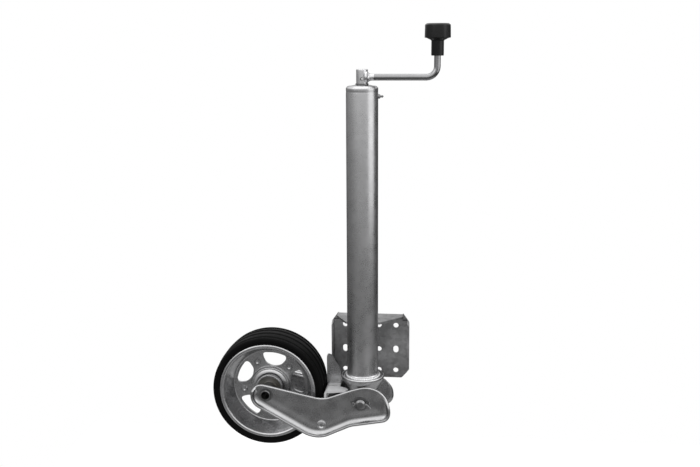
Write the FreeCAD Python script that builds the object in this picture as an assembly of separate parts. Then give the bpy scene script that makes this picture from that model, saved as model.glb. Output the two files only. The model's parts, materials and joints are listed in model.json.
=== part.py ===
"""Trailer jockey wheel that folds itself: a screw jack in a tube, with its crank, plate, fork and wheel.

Everything is drawn about the tube's axis, in millimetres, with z = 0 at the rim of the guide collar,
the wheel towards -X and the mounting plate towards +Y. Each piece is moved by TO_ORIGIN as it is written,
so that the origin is the centre of the bolt pattern on the back face of the mounting plate.
The wheel is drawn folded up beside the tube, which is the stowed position.
"""

import FreeCAD
import Part
import math
import os

V = FreeCAD.Vector
X_AXIS = V(1, 0, 0)
Y_AXIS = V(0, 1, 0)
Z_AXIS = V(0, 0, 1)

# Running and seating gaps
RUNNING_GAP = 0.05
SEAT_GAP = 0.02

# Outer tube and what closes it
TUBE_R = 30.0
TUBE_WALL = 3.0
TUBE_BORE_R = TUBE_R - TUBE_WALL
TUBE_FOOT_Z = -8.0
TUBE_TOP_Z = 560.0
SWAGE_DEPTH = 4.0
CAP_THICKNESS = 8.0
CAP_DOME = 1.8

NIPPLE_Z = 540.6
NIPPLE_THREAD_R = 3.0
NIPPLE_HEX_R = 4.6
NIPPLE_HEX_T = 3.2
NIPPLE_NECK = 3.6
NIPPLE_TIP_R = 2.3

# Guide collar at the foot of the outer tube
COLLAR_R = 42.0
COLLAR_LIP = 4.0
COLLAR_RIM_Z = 0.8
COLLAR_CHANNEL_Z = -2.5
COLLAR_FOOT_R = 28.0
COLLAR_FOOT_Z = -28.0
WELD_LEG = 5.0

# Mounting plate behind the tube
PLATE_FRONT_Y = 62.5
PLATE_T = 4.0
PLATE_BACK_Y = PLATE_FRONT_Y + PLATE_T
PLATE_OFFSET_X = 10.0
PLATE_WIDTH = 156.0
PLATE_FOOT_Z = -27.5
PLATE_TOP_Z = 106.0
PLATE_CHAMFER_X = 15.0
PLATE_CHAMFER_Z = 17.0
PLATE_FLANGE = 13.0
PLATE_BEND_R = 5.0
WEB_HALF_WIDTH = 65.0
WEB_TAPER_Y = 42.0
HOLE_PITCH = 34.0
HOLE_R = 5.25
HOLE_ROWS_Z = (82.0, 32.0, -12.0)
SLOT_LENGTH = 15.0
RIB_X = (-18.0, 14.0)
RIB_T = 4.0

# Lifting screw, its bearing and its nut
SCREW_R = 10.0
SCREW_FOOT_Z = 250.0
BEARING_R = 20.0
BEARING_BORE_R = 11.0
BALL_R = 3.0
BALL_RING_R = 15.5
BALL_COUNT = 10
BALL_SEAT = 1.0
RACE_T = 3.0
SCREW_FLANGE_T = 6.0

# Crank
BOSS_R = 10.8
BOSS_FOOT_Z = 564.2
BOSS_TOP_Z = 590.0
SCREW_TOP_Z = BOSS_TOP_Z - 4.0
ROLL_PIN_R = 3.0
ROLL_PIN_Z = 572.5
ARM_R = 6.0
ARM_Z = 575.5
ARM_REACH = 137.9
ARM_BEND_R = 20.0
ARM_TOP_Z = 655.0

# Knob on the crank
KNOB_NECK_R = 11.5
KNOB_HEAD_R = 24.4
KNOB_HEAD_TOP_R = 23.2
KNOB_FOOT_Z = 614.3
KNOB_SHOULDER_Z = 646.5
KNOB_TOP_Z = 672.0
KNOB_SIDES = 8
KNOB_CORNER_TURN = -12.6
KNOB_CLIP_T = 2.0
KNOB_CLIP_R = 8.5
KNOB_CLIP_Z = ARM_TOP_Z - 6.0

# Inner tube and its head
INNER_R = 25.0
INNER_WALL = 3.0
INNER_TOP_Z = 500.0
GUIDE_RING_H = 24.0
NUT_FLANGE_T = 8.0
NUT_DEPTH = 30.0

# Pivot between the inner tube's head and the fork
PIVOT_Z = -44.5
PIVOT_PIN_R = 10.0
PIVOT_TUBE_R = 15.0
PIVOT_BUSH_R = 12.0
PIVOT_TUBE_HALF = 36.5
PIN_HEAD_R = 14.0
PIN_HEAD_T = 5.0
PIVOT_WASHER_T = 2.5
COTTER_OFFSET = 5.6

# Fork: two pressed side plates, wide apart at the wheel and close together at the pivot
FORK_T = 4.0
FORK_WIDE_Y = 50.0
FORK_NARROW_Y = 38.0
FORK_NOSE_X = -211.6
FORK_WIDE_X = -62.0
FORK_NARROW_X = -15.0
FORK_FLANGE = 10.0
FORK_BEND_R = 5.0
JOGGLE_R = 15.0
SWING_GAP = 0.4
JOGGLE_SLANT = 0.06
SPACER_X = -75.0
SPACER_Z = -86.0
SPACER_R = 8.0
RIVET_R = SPACER_R - 2.0
RIVET_HEAD_R = 9.5
STOP_BAR_R = 6.0
UNFOLD_DEGREES = 105.0
DECK_TOP_Z = -19.0
DECK_T = 4.0
DECK_EDGE_X = -69.8
DECK_APRON_Z = -40.0
DECK_ARM_X = -25.0
DECK_SLIT_Y = 18.0
DECK_SLIT_WIDTH = 3.5
DECK_SLIT_END_X = -47.0
CAM_T = 6.0
CAM_TAB_X = -61.0
CAM_TAB_END_X = -50.0

# Wheel
AXLE_X = -183.4
AXLE_Z = -28.7
AXLE_R = 10.0
AXLE_BORE_R = 8.0
AXLE_END = 6.0
AXLE_CLIP_R = AXLE_R + 3.2
AXLE_CLIP_T = 1.4
SLEEVE_R = 14.5
TYRE_R = 110.2
TYRE_HALF = 40.0
TREAD_GROOVES = (-29.0, -10.0, 10.0, 29.0)
TREAD_GROOVE_DEPTH = 2.0
TREAD_GROOVE_HALF = 5.0
TREAD_GROOVE_FLANK = 2.0
TYRE_SHOULDER_R = 5.0
CROWN_FALL = 3.0
RIM_SHEET = 2.5
RIM_LIP_R = 95.5
RIM_LIP_Y = 38.5
DISC_EDGE_R = 74.0
HUB_R = 27.0
HUB_BORE_R = 23.5
HUB_HALF = 21.0
OPENING_COUNT = 5
OPENING_PHASE = 9.8
OPENING_OUTER_R = 68.5
OPENING_HALF_ANGLE = 20.0
OPENING_INNER_R = 39.9
RIM_RIVET_RING_R = 54.0
RIM_RIVET_R = 4.0
BEARING_WIDTH = 14.0
INNER_RING_R = 14.0
SHIELD_R = 14.4

TO_ORIGIN = V(-PLATE_OFFSET_X, -PLATE_BACK_Y, -(HOLE_ROWS_Z[0] + HOLE_ROWS_Z[-1]) / 2)


# Drawing planes: each turns a pair of numbers into a point
def in_xz(u, w):
    """A point of the upright plane through the tube's axis."""
    return V(u, 0, w)


def in_xy(u, w):
    """A point of the level plane through the collar's rim."""
    return V(u, w, 0)


def in_yz(u, w):
    """A point of the upright plane that runs from front to back through the tube's axis."""
    return V(0, u, w)


def at_wheel(radius, y):
    """A point at a radius from the wheel's axis, for turned pieces of the wheel."""
    return V(AXLE_X + radius, y, AXLE_Z)


def at_pivot(radius, y):
    """A point at a radius from the pivot's axis, for turned pieces of the pivot."""
    return V(radius, y, PIVOT_Z)


def corner_wire(corners, place):
    """Closed wire through corners given as (u, w) or (u, w, radius), rounded by tangent arcs."""
    points = [place(corner[0], corner[1]) for corner in corners]
    radii = [corner[2] if len(corner) > 2 else 0 for corner in corners]
    count = len(corners)
    starts, middles, ends = [], [], []
    for i, here in enumerate(points):
        back = (points[i - 1] - here).normalize()
        on = (points[(i + 1) % count] - here).normalize()
        half = back.getAngle(on) / 2
        reach = radii[i] / math.tan(half)
        bisector = (back + on).normalize() if radii[i] else back
        starts.append(here + back * reach)
        ends.append(here + on * reach)
        middles.append(here + bisector * (radii[i] / math.sin(half) - radii[i]))
    edges = []
    for i in range(count):
        if radii[i]:
            edges.append(Part.Arc(starts[i], middles[i], ends[i]).toShape())
        following = starts[(i + 1) % count]
        if ends[i].distanceToPoint(following) > 1e-6:
            edges.append(Part.LineSegment(ends[i], following).toShape())
    return Part.Wire(edges)


def prism(corners, place, base, along):
    """Solid raised from an outline, from the point base along a vector."""
    wire = corner_wire(corners, place)
    wire.translate(base)
    return Part.Face(wire).extrude(along)


def turned(corners, place, centre, axis):
    """Solid turned from a half section about an axis."""
    return Part.Face(corner_wire(corners, place)).revolve(centre, axis, 360)


def turned_z(corners):
    """Piece turned about the tube's axis from corners (radius, z)."""
    return turned(corners, in_xz, V(0, 0, 0), Z_AXIS)


def turned_wheel(corners):
    """Piece turned about the wheel's axis from corners (radius, y)."""
    return turned(corners, at_wheel, V(AXLE_X, 0, AXLE_Z), Y_AXIS)


def turned_pivot(corners):
    """Piece turned about the pivot's axis from corners (radius, y)."""
    return turned(corners, at_pivot, V(0, 0, PIVOT_Z), Y_AXIS)


def bar_y(x, z, radius, y0, y1):
    """Round bar along Y."""
    return Part.makeCylinder(radius, y1 - y0, V(x, y0, z), Y_AXIS)


def ring_y(x, z, outer, inner, y0, y1):
    """Round sleeve along Y."""
    return bar_y(x, z, outer, y0, y1).cut(bar_y(x, z, inner, y0 - 1, y1 + 1))


def mirrored(shape):
    """The same shape on the far side of the plane y = 0."""
    return shape.mirror(V(0, 0, 0), Y_AXIS)


def union(shapes):
    """One solid from shapes that touch or overlap."""
    first = shapes[0].fuse(shapes[1:])
    return first.removeSplitter()


# Outer tube
def outer_tube():
    """Straight tube whose top edge is swaged inwards over the cap, drilled for the grease nipple."""
    shoulder_z = TUBE_TOP_Z - SWAGE_DEPTH
    lip_r = TUBE_R - SWAGE_DEPTH
    tube = turned_z([
        (TUBE_BORE_R, TUBE_FOOT_Z),
        (TUBE_R, TUBE_FOOT_Z),
        (TUBE_R, shoulder_z, 2.5),
        (lip_r, TUBE_TOP_Z),
        (lip_r - 2, TUBE_TOP_Z - 2),
        (TUBE_BORE_R, shoulder_z - 1),
    ])
    return tube.cut(Part.makeCylinder(NIPPLE_THREAD_R + SEAT_GAP, 2 * TUBE_R, V(0, 0, NIPPLE_Z), X_AXIS))


def guide_collar():
    """Dished ring on the foot of the tube, with a raised lip, a weld bead and a cone underneath."""
    bore_r = INNER_R + RUNNING_GAP
    seat_r = TUBE_R + SEAT_GAP
    lip_foot_z = -COLLAR_LIP
    return turned_z([
        (bore_r, COLLAR_FOOT_Z),
        (COLLAR_FOOT_R, COLLAR_FOOT_Z, 1.5),
        (COLLAR_R, lip_foot_z, 1.5),
        (COLLAR_R, COLLAR_RIM_Z, 1.9),
        (COLLAR_R - COLLAR_LIP, COLLAR_RIM_Z, 1.9),
        (COLLAR_R - COLLAR_LIP, COLLAR_CHANNEL_Z, 1),
        (seat_r + WELD_LEG, COLLAR_CHANNEL_Z, 1),
        (seat_r, WELD_LEG),
        (seat_r, TUBE_FOOT_Z - SEAT_GAP),
        (bore_r, TUBE_FOOT_Z - SEAT_GAP),
    ])


def top_cap():
    """Pressed cap held under the swaged edge, domed on top and bored for the screw."""
    bore_r = SCREW_R + RUNNING_GAP
    lip_r = TUBE_R - SWAGE_DEPTH - 2.2
    foot_z = TUBE_TOP_Z - SWAGE_DEPTH - CAP_THICKNESS
    edge_z = TUBE_TOP_Z - SWAGE_DEPTH - 1.2
    return turned_z([
        (bore_r, foot_z),
        (TUBE_BORE_R - SEAT_GAP, foot_z),
        (TUBE_BORE_R - SEAT_GAP, edge_z),
        (lip_r, TUBE_TOP_Z - 2.2),
        (lip_r - 1, TUBE_TOP_Z - 0.2, 1),
        (BOSS_R + 2.5, TUBE_TOP_Z + CAP_DOME, 6),
        (bore_r, TUBE_TOP_Z + CAP_DOME),
    ])


def plate_outline():
    """Outline of the mounting plate between its flanges, with the corners cut off."""
    left = PLATE_OFFSET_X - PLATE_WIDTH / 2
    right = PLATE_OFFSET_X + PLATE_WIDTH / 2
    return [
        (left + PLATE_CHAMFER_X, PLATE_FOOT_Z, 6),
        (right - PLATE_CHAMFER_X, PLATE_FOOT_Z, 6),
        (right, PLATE_FOOT_Z + PLATE_CHAMFER_Z, 4),
        (right, PLATE_TOP_Z - PLATE_CHAMFER_Z, 4),
        (PLATE_OFFSET_X + WEB_HALF_WIDTH, PLATE_TOP_Z),
        (PLATE_OFFSET_X - WEB_HALF_WIDTH, PLATE_TOP_Z),
        (left, PLATE_TOP_Z - PLATE_CHAMFER_Z, 4),
        (left, PLATE_FOOT_Z + PLATE_CHAMFER_Z, 4),
    ]


def hole_columns():
    """The four hole columns of the mounting plate."""
    return [PLATE_OFFSET_X + HOLE_PITCH * step for step in (-1.5, -0.5, 0.5, 1.5)]


def plate_holes():
    """Cutters for three rows of four holes; the outer two of the middle row are upright slots."""
    columns = hole_columns()
    front = PLATE_FRONT_Y - PLATE_FLANGE
    cutters = []
    for row, z in enumerate(HOLE_ROWS_Z):
        for column, x in enumerate(columns):
            if row == 1 and column in (0, 3):
                half = SLOT_LENGTH / 2
                slot = [
                    (x - HOLE_R, z - half, HOLE_R - 0.01),
                    (x + HOLE_R, z - half, HOLE_R - 0.01),
                    (x + HOLE_R, z + half, HOLE_R - 0.01),
                    (x - HOLE_R, z + half, HOLE_R - 0.01),
                ]
                cutters.append(prism(slot, in_xz, V(0, front, 0), V(0, 4 * PLATE_FLANGE, 0)))
            else:
                cutters.append(bar_y(x, z, HOLE_R, front, PLATE_BACK_Y + 1))
    return Part.makeCompound(cutters)


def mounting_plate():
    """Bolt-on plate with bent side flanges and a top web that reaches forward to the tube."""
    left = PLATE_OFFSET_X - PLATE_WIDTH / 2
    right = PLATE_OFFSET_X + PLATE_WIDTH / 2
    outer_bend = PLATE_BEND_R
    inner_bend = PLATE_BEND_R - PLATE_T
    flange_y = PLATE_FRONT_Y - PLATE_FLANGE + PLATE_T
    pan = [
        (left, flange_y),
        (left + PLATE_T, flange_y),
        (left + PLATE_T, PLATE_FRONT_Y, inner_bend),
        (right - PLATE_T, PLATE_FRONT_Y, inner_bend),
        (right - PLATE_T, flange_y),
        (right, flange_y),
        (right, PLATE_BACK_Y, outer_bend),
        (left, PLATE_BACK_Y, outer_bend),
    ]
    tall = PLATE_TOP_Z - PLATE_FOOT_Z
    folded = prism(pan, in_xy, V(0, 0, PLATE_FOOT_Z), V(0, 0, tall))
    face = prism(plate_outline(), in_xz, V(0, PLATE_FRONT_Y - 2 * PLATE_FLANGE, 0), V(0, 4 * PLATE_FLANGE, 0))
    plate = folded.common(face)
    angle = [
        (0, PLATE_TOP_Z - PLATE_T),
        (PLATE_FRONT_Y, PLATE_TOP_Z - PLATE_T, inner_bend),
        (PLATE_FRONT_Y, PLATE_TOP_Z - 3 * PLATE_T),
        (PLATE_BACK_Y, PLATE_TOP_Z - 3 * PLATE_T),
        (PLATE_BACK_Y, PLATE_TOP_Z, outer_bend),
        (0, PLATE_TOP_Z),
    ]
    width = 2 * WEB_HALF_WIDTH
    bent = prism(angle, in_yz, V(PLATE_OFFSET_X - WEB_HALF_WIDTH, 0, 0), V(width, 0, 0))
    web = [
        (-TUBE_R - 3, 0),
        (-3, 0),
        (3, 0),
        (TUBE_R + 3, 0),
        (PLATE_OFFSET_X + WEB_HALF_WIDTH, WEB_TAPER_Y, 5),
        (PLATE_OFFSET_X + WEB_HALF_WIDTH, PLATE_BACK_Y + 1),
        (PLATE_OFFSET_X - WEB_HALF_WIDTH, PLATE_BACK_Y + 1),
        (PLATE_OFFSET_X - WEB_HALF_WIDTH, WEB_TAPER_Y, 5),
    ]
    trim = prism(web, in_xy, V(0, 0, PLATE_TOP_Z - 4 * PLATE_T), V(0, 0, 5 * PLATE_T))
    bent = bent.common(trim)
    bend_depth = 3 * PLATE_T
    bend_foot = V(-PLATE_WIDTH, PLATE_FRONT_Y, PLATE_TOP_Z - bend_depth)
    bend_room = Part.makeBox(2 * PLATE_WIDTH, PLATE_T + 1, bend_depth, bend_foot)
    plate = union([plate.cut(bend_room), bent])
    tube = Part.makeCylinder(TUBE_R + SEAT_GAP, tall, V(0, 0, PLATE_FOOT_Z), Z_AXIS)
    return plate.cut(tube).cut(plate_holes())


def plate_ribs():
    """Two upright ribs that join the mounting plate to the back of the tube."""
    ribs = []
    for x in RIB_X:
        side = [
            (10, -6),
            (PLATE_FRONT_Y - SEAT_GAP, -1, 4),
            (PLATE_FRONT_Y - SEAT_GAP, 76, 4),
            (10, 96),
        ]
        rib = prism(side, in_yz, V(x - RIB_T / 2, 0, 0), V(RIB_T, 0, 0))
        ribs.append(rib)
    keep_out = Part.makeCylinder(TUBE_R + SEAT_GAP, 200, V(0, 0, -50), Z_AXIS)
    collar_room = Part.makeCylinder(COLLAR_R + 1, 40, V(0, 0, -35), Z_AXIS)
    return Part.makeCompound([rib.cut(keep_out).cut(collar_room) for rib in ribs])


def grease_nipple():
    """Grease nipple in the right side of the tube: thread, hexagon, neck and ball tip."""
    z = NIPPLE_Z
    face_x = TUBE_R + SEAT_GAP
    shank = Part.makeCylinder(NIPPLE_THREAD_R, face_x - TUBE_BORE_R + 1, V(TUBE_BORE_R - 1, 0, z), X_AXIS)
    corners = []
    for k in range(7):
        turn = math.radians(60 * k)
        corners.append(V(face_x, NIPPLE_HEX_R * math.cos(turn), z + NIPPLE_HEX_R * math.sin(turn)))
    nut = Part.Face(Part.makePolygon(corners)).extrude(V(NIPPLE_HEX_T, 0, 0))
    neck = Part.makeCone(2.6, 1.7, NIPPLE_NECK, V(face_x + NIPPLE_HEX_T, 0, z), X_AXIS)
    tip = Part.makeSphere(NIPPLE_TIP_R, V(face_x + NIPPLE_HEX_T + NIPPLE_NECK + 0.6, 0, z))
    return union([shank, nut, neck, tip])


# Lifting screw, turned by the crank
def bearing_top_z():
    """Height of the underside of the cap, where the thrust bearing sits."""
    return TUBE_TOP_Z - SWAGE_DEPTH - CAP_THICKNESS


def race(top_z, groove_down):
    """Thrust race with a shallow ball groove on one face."""
    foot_z = top_z - RACE_T
    ring = turned_z([
        (BEARING_BORE_R, foot_z),
        (BEARING_R, foot_z, 0.5),
        (BEARING_R, top_z, 0.5),
        (BEARING_BORE_R, top_z),
    ])
    ball_z = foot_z - BALL_R + BALL_SEAT if groove_down else top_z + BALL_R - BALL_SEAT
    groove = Part.makeTorus(BALL_RING_R, BALL_R + 0.05, V(0, 0, ball_z), Z_AXIS)
    return ring.cut(groove)


def balls_z():
    """Height of the ball centres in the thrust bearing."""
    return bearing_top_z() - SEAT_GAP - RACE_T - BALL_R + BALL_SEAT


def bearing_upper_race():
    return race(bearing_top_z() - SEAT_GAP, True)


def lower_race_top_z():
    return balls_z() - BALL_R + BALL_SEAT


def bearing_lower_race():
    return race(lower_race_top_z(), False)


def bearing_balls():
    """Ring of balls between the two races."""
    balls = []
    for k in range(BALL_COUNT):
        turn = math.radians(360 * k / BALL_COUNT)
        centre = V(BALL_RING_R * math.cos(turn), BALL_RING_R * math.sin(turn), balls_z())
        balls.append(Part.makeSphere(BALL_R, centre))
    return Part.makeCompound(balls)


def lifting_screw():
    """Screw that hangs from the thrust bearing down the middle of the inner tube."""
    shoulder_z = lower_race_top_z() - RACE_T - SEAT_GAP
    flange_z = shoulder_z - SCREW_FLANGE_T
    screw = turned_z([
        (0, SCREW_FOOT_Z),
        (SCREW_R - 3, SCREW_FOOT_Z),
        (SCREW_R, SCREW_FOOT_Z + 3),
        (SCREW_R, flange_z),
        (BEARING_R - 1, flange_z, 1),
        (BEARING_R - 1, shoulder_z, 1),
        (SCREW_R, shoulder_z),
        (SCREW_R, SCREW_TOP_Z),
        (0, SCREW_TOP_Z),
    ])
    pin_hole = bar_y(0, ROLL_PIN_Z, ROLL_PIN_R, -20, 20)
    return screw.cut(pin_hole)


def crank_washer():
    """Washer between the cap and the boss of the crank."""
    foot_z = TUBE_TOP_Z + CAP_DOME + SEAT_GAP
    return turned_z([
        (SCREW_R + 0.4, foot_z),
        (BOSS_R + 1.4, foot_z, 0.5),
        (BOSS_R + 1.4, BOSS_FOOT_Z - SEAT_GAP, 0.5),
        (SCREW_R + 0.4, BOSS_FOOT_Z - SEAT_GAP),
    ])


def crank_boss():
    """Round boss on the end of the screw, bored across for the roll pin, with the arm's weld on its side."""
    boss = turned_z([
        (0, SCREW_TOP_Z + SEAT_GAP),
        (SCREW_R + SEAT_GAP, SCREW_TOP_Z + SEAT_GAP),
        (SCREW_R + SEAT_GAP, BOSS_FOOT_Z),
        (BOSS_R, BOSS_FOOT_Z, 0.4),
        (BOSS_R, BOSS_TOP_Z, 1.2),
        (0, BOSS_TOP_Z),
    ])
    weld = [
        (BOSS_R - 5, 0),
        (BOSS_R - 5, 12.5),
        (BOSS_R - 1, 12.5),
        (BOSS_R + 1, ARM_R + 0.4, 8),
        (BOSS_R + 12, ARM_R),
        (BOSS_R + 12, 0),
    ]
    flare = turned(weld, beside_arm, V(0, 0, ARM_Z), X_AXIS)
    screw_room = Part.makeCylinder(SCREW_R + SEAT_GAP, 30, V(0, 0, BOSS_FOOT_Z - 5), Z_AXIS)
    arm_room = Part.makeCylinder(ARM_R + SEAT_GAP, 40, V(0, 0, ARM_Z), X_AXIS)
    pin_hole = bar_y(0, ROLL_PIN_Z, ROLL_PIN_R, -20, 20)
    foot = Part.makeBox(60, 60, 10, V(-30, -30, BOSS_FOOT_Z - 10))
    return union([boss, flare]).cut(screw_room).cut(arm_room).cut(pin_hole).cut(foot)


def beside_arm(x, radius):
    """A point at a radius from the level run of the crank's bar."""
    return V(x, 0, ARM_Z + radius)


def roll_pin():
    """Split spring pin across the boss and the screw."""
    half = BOSS_R - 0.6
    pin = ring_y(0, ROLL_PIN_Z, ROLL_PIN_R - SEAT_GAP, ROLL_PIN_R - 1, -half, half)
    slit = Part.makeBox(0.8, 2 * half + 2, ROLL_PIN_R + 1, V(-0.4, -half - 1, ROLL_PIN_Z))
    return pin.cut(slit)


def crank_arm():
    """Round bar bent once: level from the boss, then upright under the knob."""
    start = V(SCREW_R + SEAT_GAP, 0, ARM_Z)
    bend_start = V(ARM_REACH - ARM_BEND_R, 0, ARM_Z)
    bend_end = V(ARM_REACH, 0, ARM_Z + ARM_BEND_R)
    slant = ARM_BEND_R * math.sin(math.radians(45))
    bend_mid = V(ARM_REACH - ARM_BEND_R + slant, 0, ARM_Z + ARM_BEND_R - slant)
    end = V(ARM_REACH, 0, ARM_TOP_Z)
    path = Part.Wire([
        Part.LineSegment(start, bend_start).toShape(),
        Part.Arc(bend_start, bend_mid, bend_end).toShape(),
        Part.LineSegment(bend_end, end).toShape(),
    ])
    section = Part.Wire(Part.makeCircle(ARM_R, start, X_AXIS))
    bar = path.makePipeShell([section], True, True)
    clip_room = [
        (ARM_R - 1, KNOB_CLIP_Z),
        (ARM_R + 1, KNOB_CLIP_Z),
        (ARM_R + 1, KNOB_CLIP_Z + KNOB_CLIP_T),
        (ARM_R - 1, KNOB_CLIP_Z + KNOB_CLIP_T),
    ]
    return bar.cut(turned(clip_room, in_knob, V(ARM_REACH, 0, 0), Z_AXIS))


def in_knob(radius, z):
    """A point at a radius from the knob's axis."""
    return V(ARM_REACH + radius, 0, z)


def knob_clip():
    """Snap ring in the groove near the end of the bar, which keeps the knob on."""
    ring = turned(
        [
            (ARM_R - 1 + SEAT_GAP, KNOB_CLIP_Z + SEAT_GAP),
            (KNOB_CLIP_R, KNOB_CLIP_Z + SEAT_GAP),
            (KNOB_CLIP_R, KNOB_CLIP_Z + KNOB_CLIP_T - SEAT_GAP),
            (ARM_R - 1 + SEAT_GAP, KNOB_CLIP_Z + KNOB_CLIP_T - SEAT_GAP),
        ],
        in_knob, V(ARM_REACH, 0, 0), Z_AXIS)
    mouth = Part.makeBox(8, 4, 10, V(ARM_REACH + ARM_R - 3, -2, ARM_TOP_Z - 10))
    return ring.cut(mouth)


def crank_knob():
    """Moulded knob that turns on the bar: round neck, flared shoulder and a head with flats."""
    bore_r = ARM_R + RUNNING_GAP
    room_r = KNOB_CLIP_R + 1
    profile = [
        (bore_r, KNOB_FOOT_Z),
        (KNOB_NECK_R, KNOB_FOOT_Z, 1),
        (KNOB_NECK_R, KNOB_SHOULDER_Z - 5, 2),
        (KNOB_HEAD_R - 5, KNOB_SHOULDER_Z - 1, 1.5),
        (KNOB_HEAD_R, KNOB_SHOULDER_Z, 0.6),
        (KNOB_HEAD_TOP_R, KNOB_TOP_Z - 2.6, 2.5),
        (KNOB_HEAD_TOP_R - 3.5, KNOB_TOP_Z, 2),
        (0, KNOB_TOP_Z),
        (0, ARM_TOP_Z + 4),
        (room_r, ARM_TOP_Z + 4),
        (room_r, ARM_TOP_Z - 8),
        (bore_r, ARM_TOP_Z - 8),
    ]
    knob = turned(profile, in_knob, V(ARM_REACH, 0, 0), Z_AXIS)
    reach = KNOB_HEAD_R + 0.4
    corners = []
    for k in range(KNOB_SIDES):
        turn = math.radians(KNOB_CORNER_TURN + 360 * k / KNOB_SIDES)
        corners.append((ARM_REACH + reach * math.cos(turn), reach * math.sin(turn), 3))
    flats = prism(corners, in_xy, V(0, 0, KNOB_FOOT_Z - 5), V(0, 0, 80))
    return knob.common(flats)


# Inner tube, which the screw drives up and down
def guide_ring():
    """Slide ring round the top of the inner tube."""
    foot_z = INNER_TOP_Z - GUIDE_RING_H
    return turned_z([
        (INNER_R + RUNNING_GAP, foot_z),
        (TUBE_BORE_R - RUNNING_GAP, foot_z, 0.5),
        (TUBE_BORE_R - RUNNING_GAP, INNER_TOP_Z - RUNNING_GAP, 0.5),
        (INNER_R + RUNNING_GAP, INNER_TOP_Z - RUNNING_GAP),
    ])


def ring_stop():
    """Snap ring on the inner tube, under the slide ring."""
    top_z = INNER_TOP_Z - GUIDE_RING_H - RUNNING_GAP
    return turned_z([
        (INNER_R + SEAT_GAP, top_z - 2),
        (INNER_R + 1.4, top_z - 2),
        (INNER_R + 1.4, top_z),
        (INNER_R + SEAT_GAP, top_z),
    ])


def screw_nut():
    """Flanged nut pressed into the top of the inner tube."""
    bore_r = SCREW_R + RUNNING_GAP
    return turned_z([
        (bore_r, INNER_TOP_Z - NUT_DEPTH),
        (INNER_R - INNER_WALL - SEAT_GAP, INNER_TOP_Z - NUT_DEPTH, 1),
        (INNER_R - INNER_WALL - SEAT_GAP, INNER_TOP_Z + SEAT_GAP),
        (TUBE_BORE_R - 0.9, INNER_TOP_Z + SEAT_GAP, 0.5),
        (TUBE_BORE_R - 0.9, INNER_TOP_Z + NUT_FLANGE_T, 1),
        (bore_r, INNER_TOP_Z + NUT_FLANGE_T),
    ])


def inner_tube():
    """Sliding tube whose foot is notched to fit over the pivot tube."""
    tube = turned_z([
        (INNER_R - INNER_WALL, PIVOT_Z),
        (INNER_R, PIVOT_Z),
        (INNER_R, INNER_TOP_Z),
        (INNER_R - INNER_WALL, INNER_TOP_Z),
    ])
    return tube.cut(bar_y(0, PIVOT_Z, PIVOT_TUBE_R + SEAT_GAP, -60, 60))


def pivot_tube():
    """Cross tube welded under the inner tube, with a bead along the joint."""
    return ring_y(0, PIVOT_Z, PIVOT_TUBE_R, PIVOT_BUSH_R + SEAT_GAP, -PIVOT_TUBE_HALF, PIVOT_TUBE_HALF)


def pivot_bushes():
    """Flanged bushes in both ends of the pivot tube."""
    flange_y = PIVOT_TUBE_HALF + SEAT_GAP
    face_y = FORK_NARROW_Y - 0.1
    bush = turned_pivot([
        (PIVOT_PIN_R + RUNNING_GAP, PIVOT_TUBE_HALF - 20),
        (PIVOT_BUSH_R, PIVOT_TUBE_HALF - 20),
        (PIVOT_BUSH_R, flange_y),
        (PIVOT_TUBE_R - 0.5, flange_y),
        (PIVOT_TUBE_R - 0.5, face_y),
        (PIVOT_PIN_R + RUNNING_GAP, face_y),
    ])
    return Part.makeCompound([bush, mirrored(bush)])


# Fork
def fork_outline():
    """Outline of a fork side plate: nose at the axle, low neck, round heel at the pivot, deep belly."""
    return [
        (FORK_NOSE_X, -4.2, 19),
        (-74, -34.2, 60),
        (57.7, 3.0, 47.5),
        (57.7, -76.0, 18),
        (-20, -89.8, 60),
        (-86.2, -115.1, 58),
        (FORK_NOSE_X, -44.8, 27),
    ]


def fork_path(y_shift):
    """Front edge of the joggled plate seen from above, from left to right, moved forward by y_shift."""
    return [
        (-260, -FORK_WIDE_Y - y_shift),
        (FORK_WIDE_X, -FORK_WIDE_Y - y_shift, JOGGLE_R),
        (FORK_NARROW_X, -FORK_NARROW_Y - y_shift, JOGGLE_R),
        (100, -FORK_NARROW_Y - y_shift),
    ]


def leaning_prism(plan):
    """Tall prism over a plan that is true at the pivot's height and leans with the joggle elsewhere."""
    below = 115
    above = 85
    foot = V(-JOGGLE_SLANT * below, 0, PIVOT_Z - below)
    return prism(plan, in_xy, foot, V(JOGGLE_SLANT * (below + above), 0, below + above))


def joggled_slab(near_shift, far_shift):
    """Tall slab between two joggled surfaces."""
    return leaning_prism(fork_path(near_shift) + fork_path(far_shift)[::-1])


def fork_plate():
    """Front side plate before its top edge is trimmed: a joggled web flanged outwards all round."""
    outline = prism(fork_outline(), in_xz, V(0, -100, 0), V(0, 100, 0))
    blank = outline.common(joggled_slab(0, FORK_T + FORK_FLANGE))
    inner_wire = corner_wire(fork_outline(), in_xz).makeOffset2D(-FORK_T)
    inner_wire.translate(V(0, -100, 0))
    pocket = Part.Face(inner_wire).extrude(V(0, 100, 0)).common(joggled_slab(FORK_T, 60))
    floor_edges = [edge for edge in pocket.Edges if on_web_face(edge)]
    pocket = pocket.makeFillet(FORK_BEND_R, floor_edges)
    holes = [
        bar_y(AXLE_X, AXLE_Z, AXLE_R + SEAT_GAP, -100, 0),
        bar_y(0, PIVOT_Z, PIVOT_PIN_R + SEAT_GAP, -100, 0),
        bar_y(SPACER_X, SPACER_Z, RIVET_R + SEAT_GAP, -100, 0),
    ]
    return blank.cut(pocket).cut(Part.makeCompound(holes)).cut(swing_room())


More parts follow.
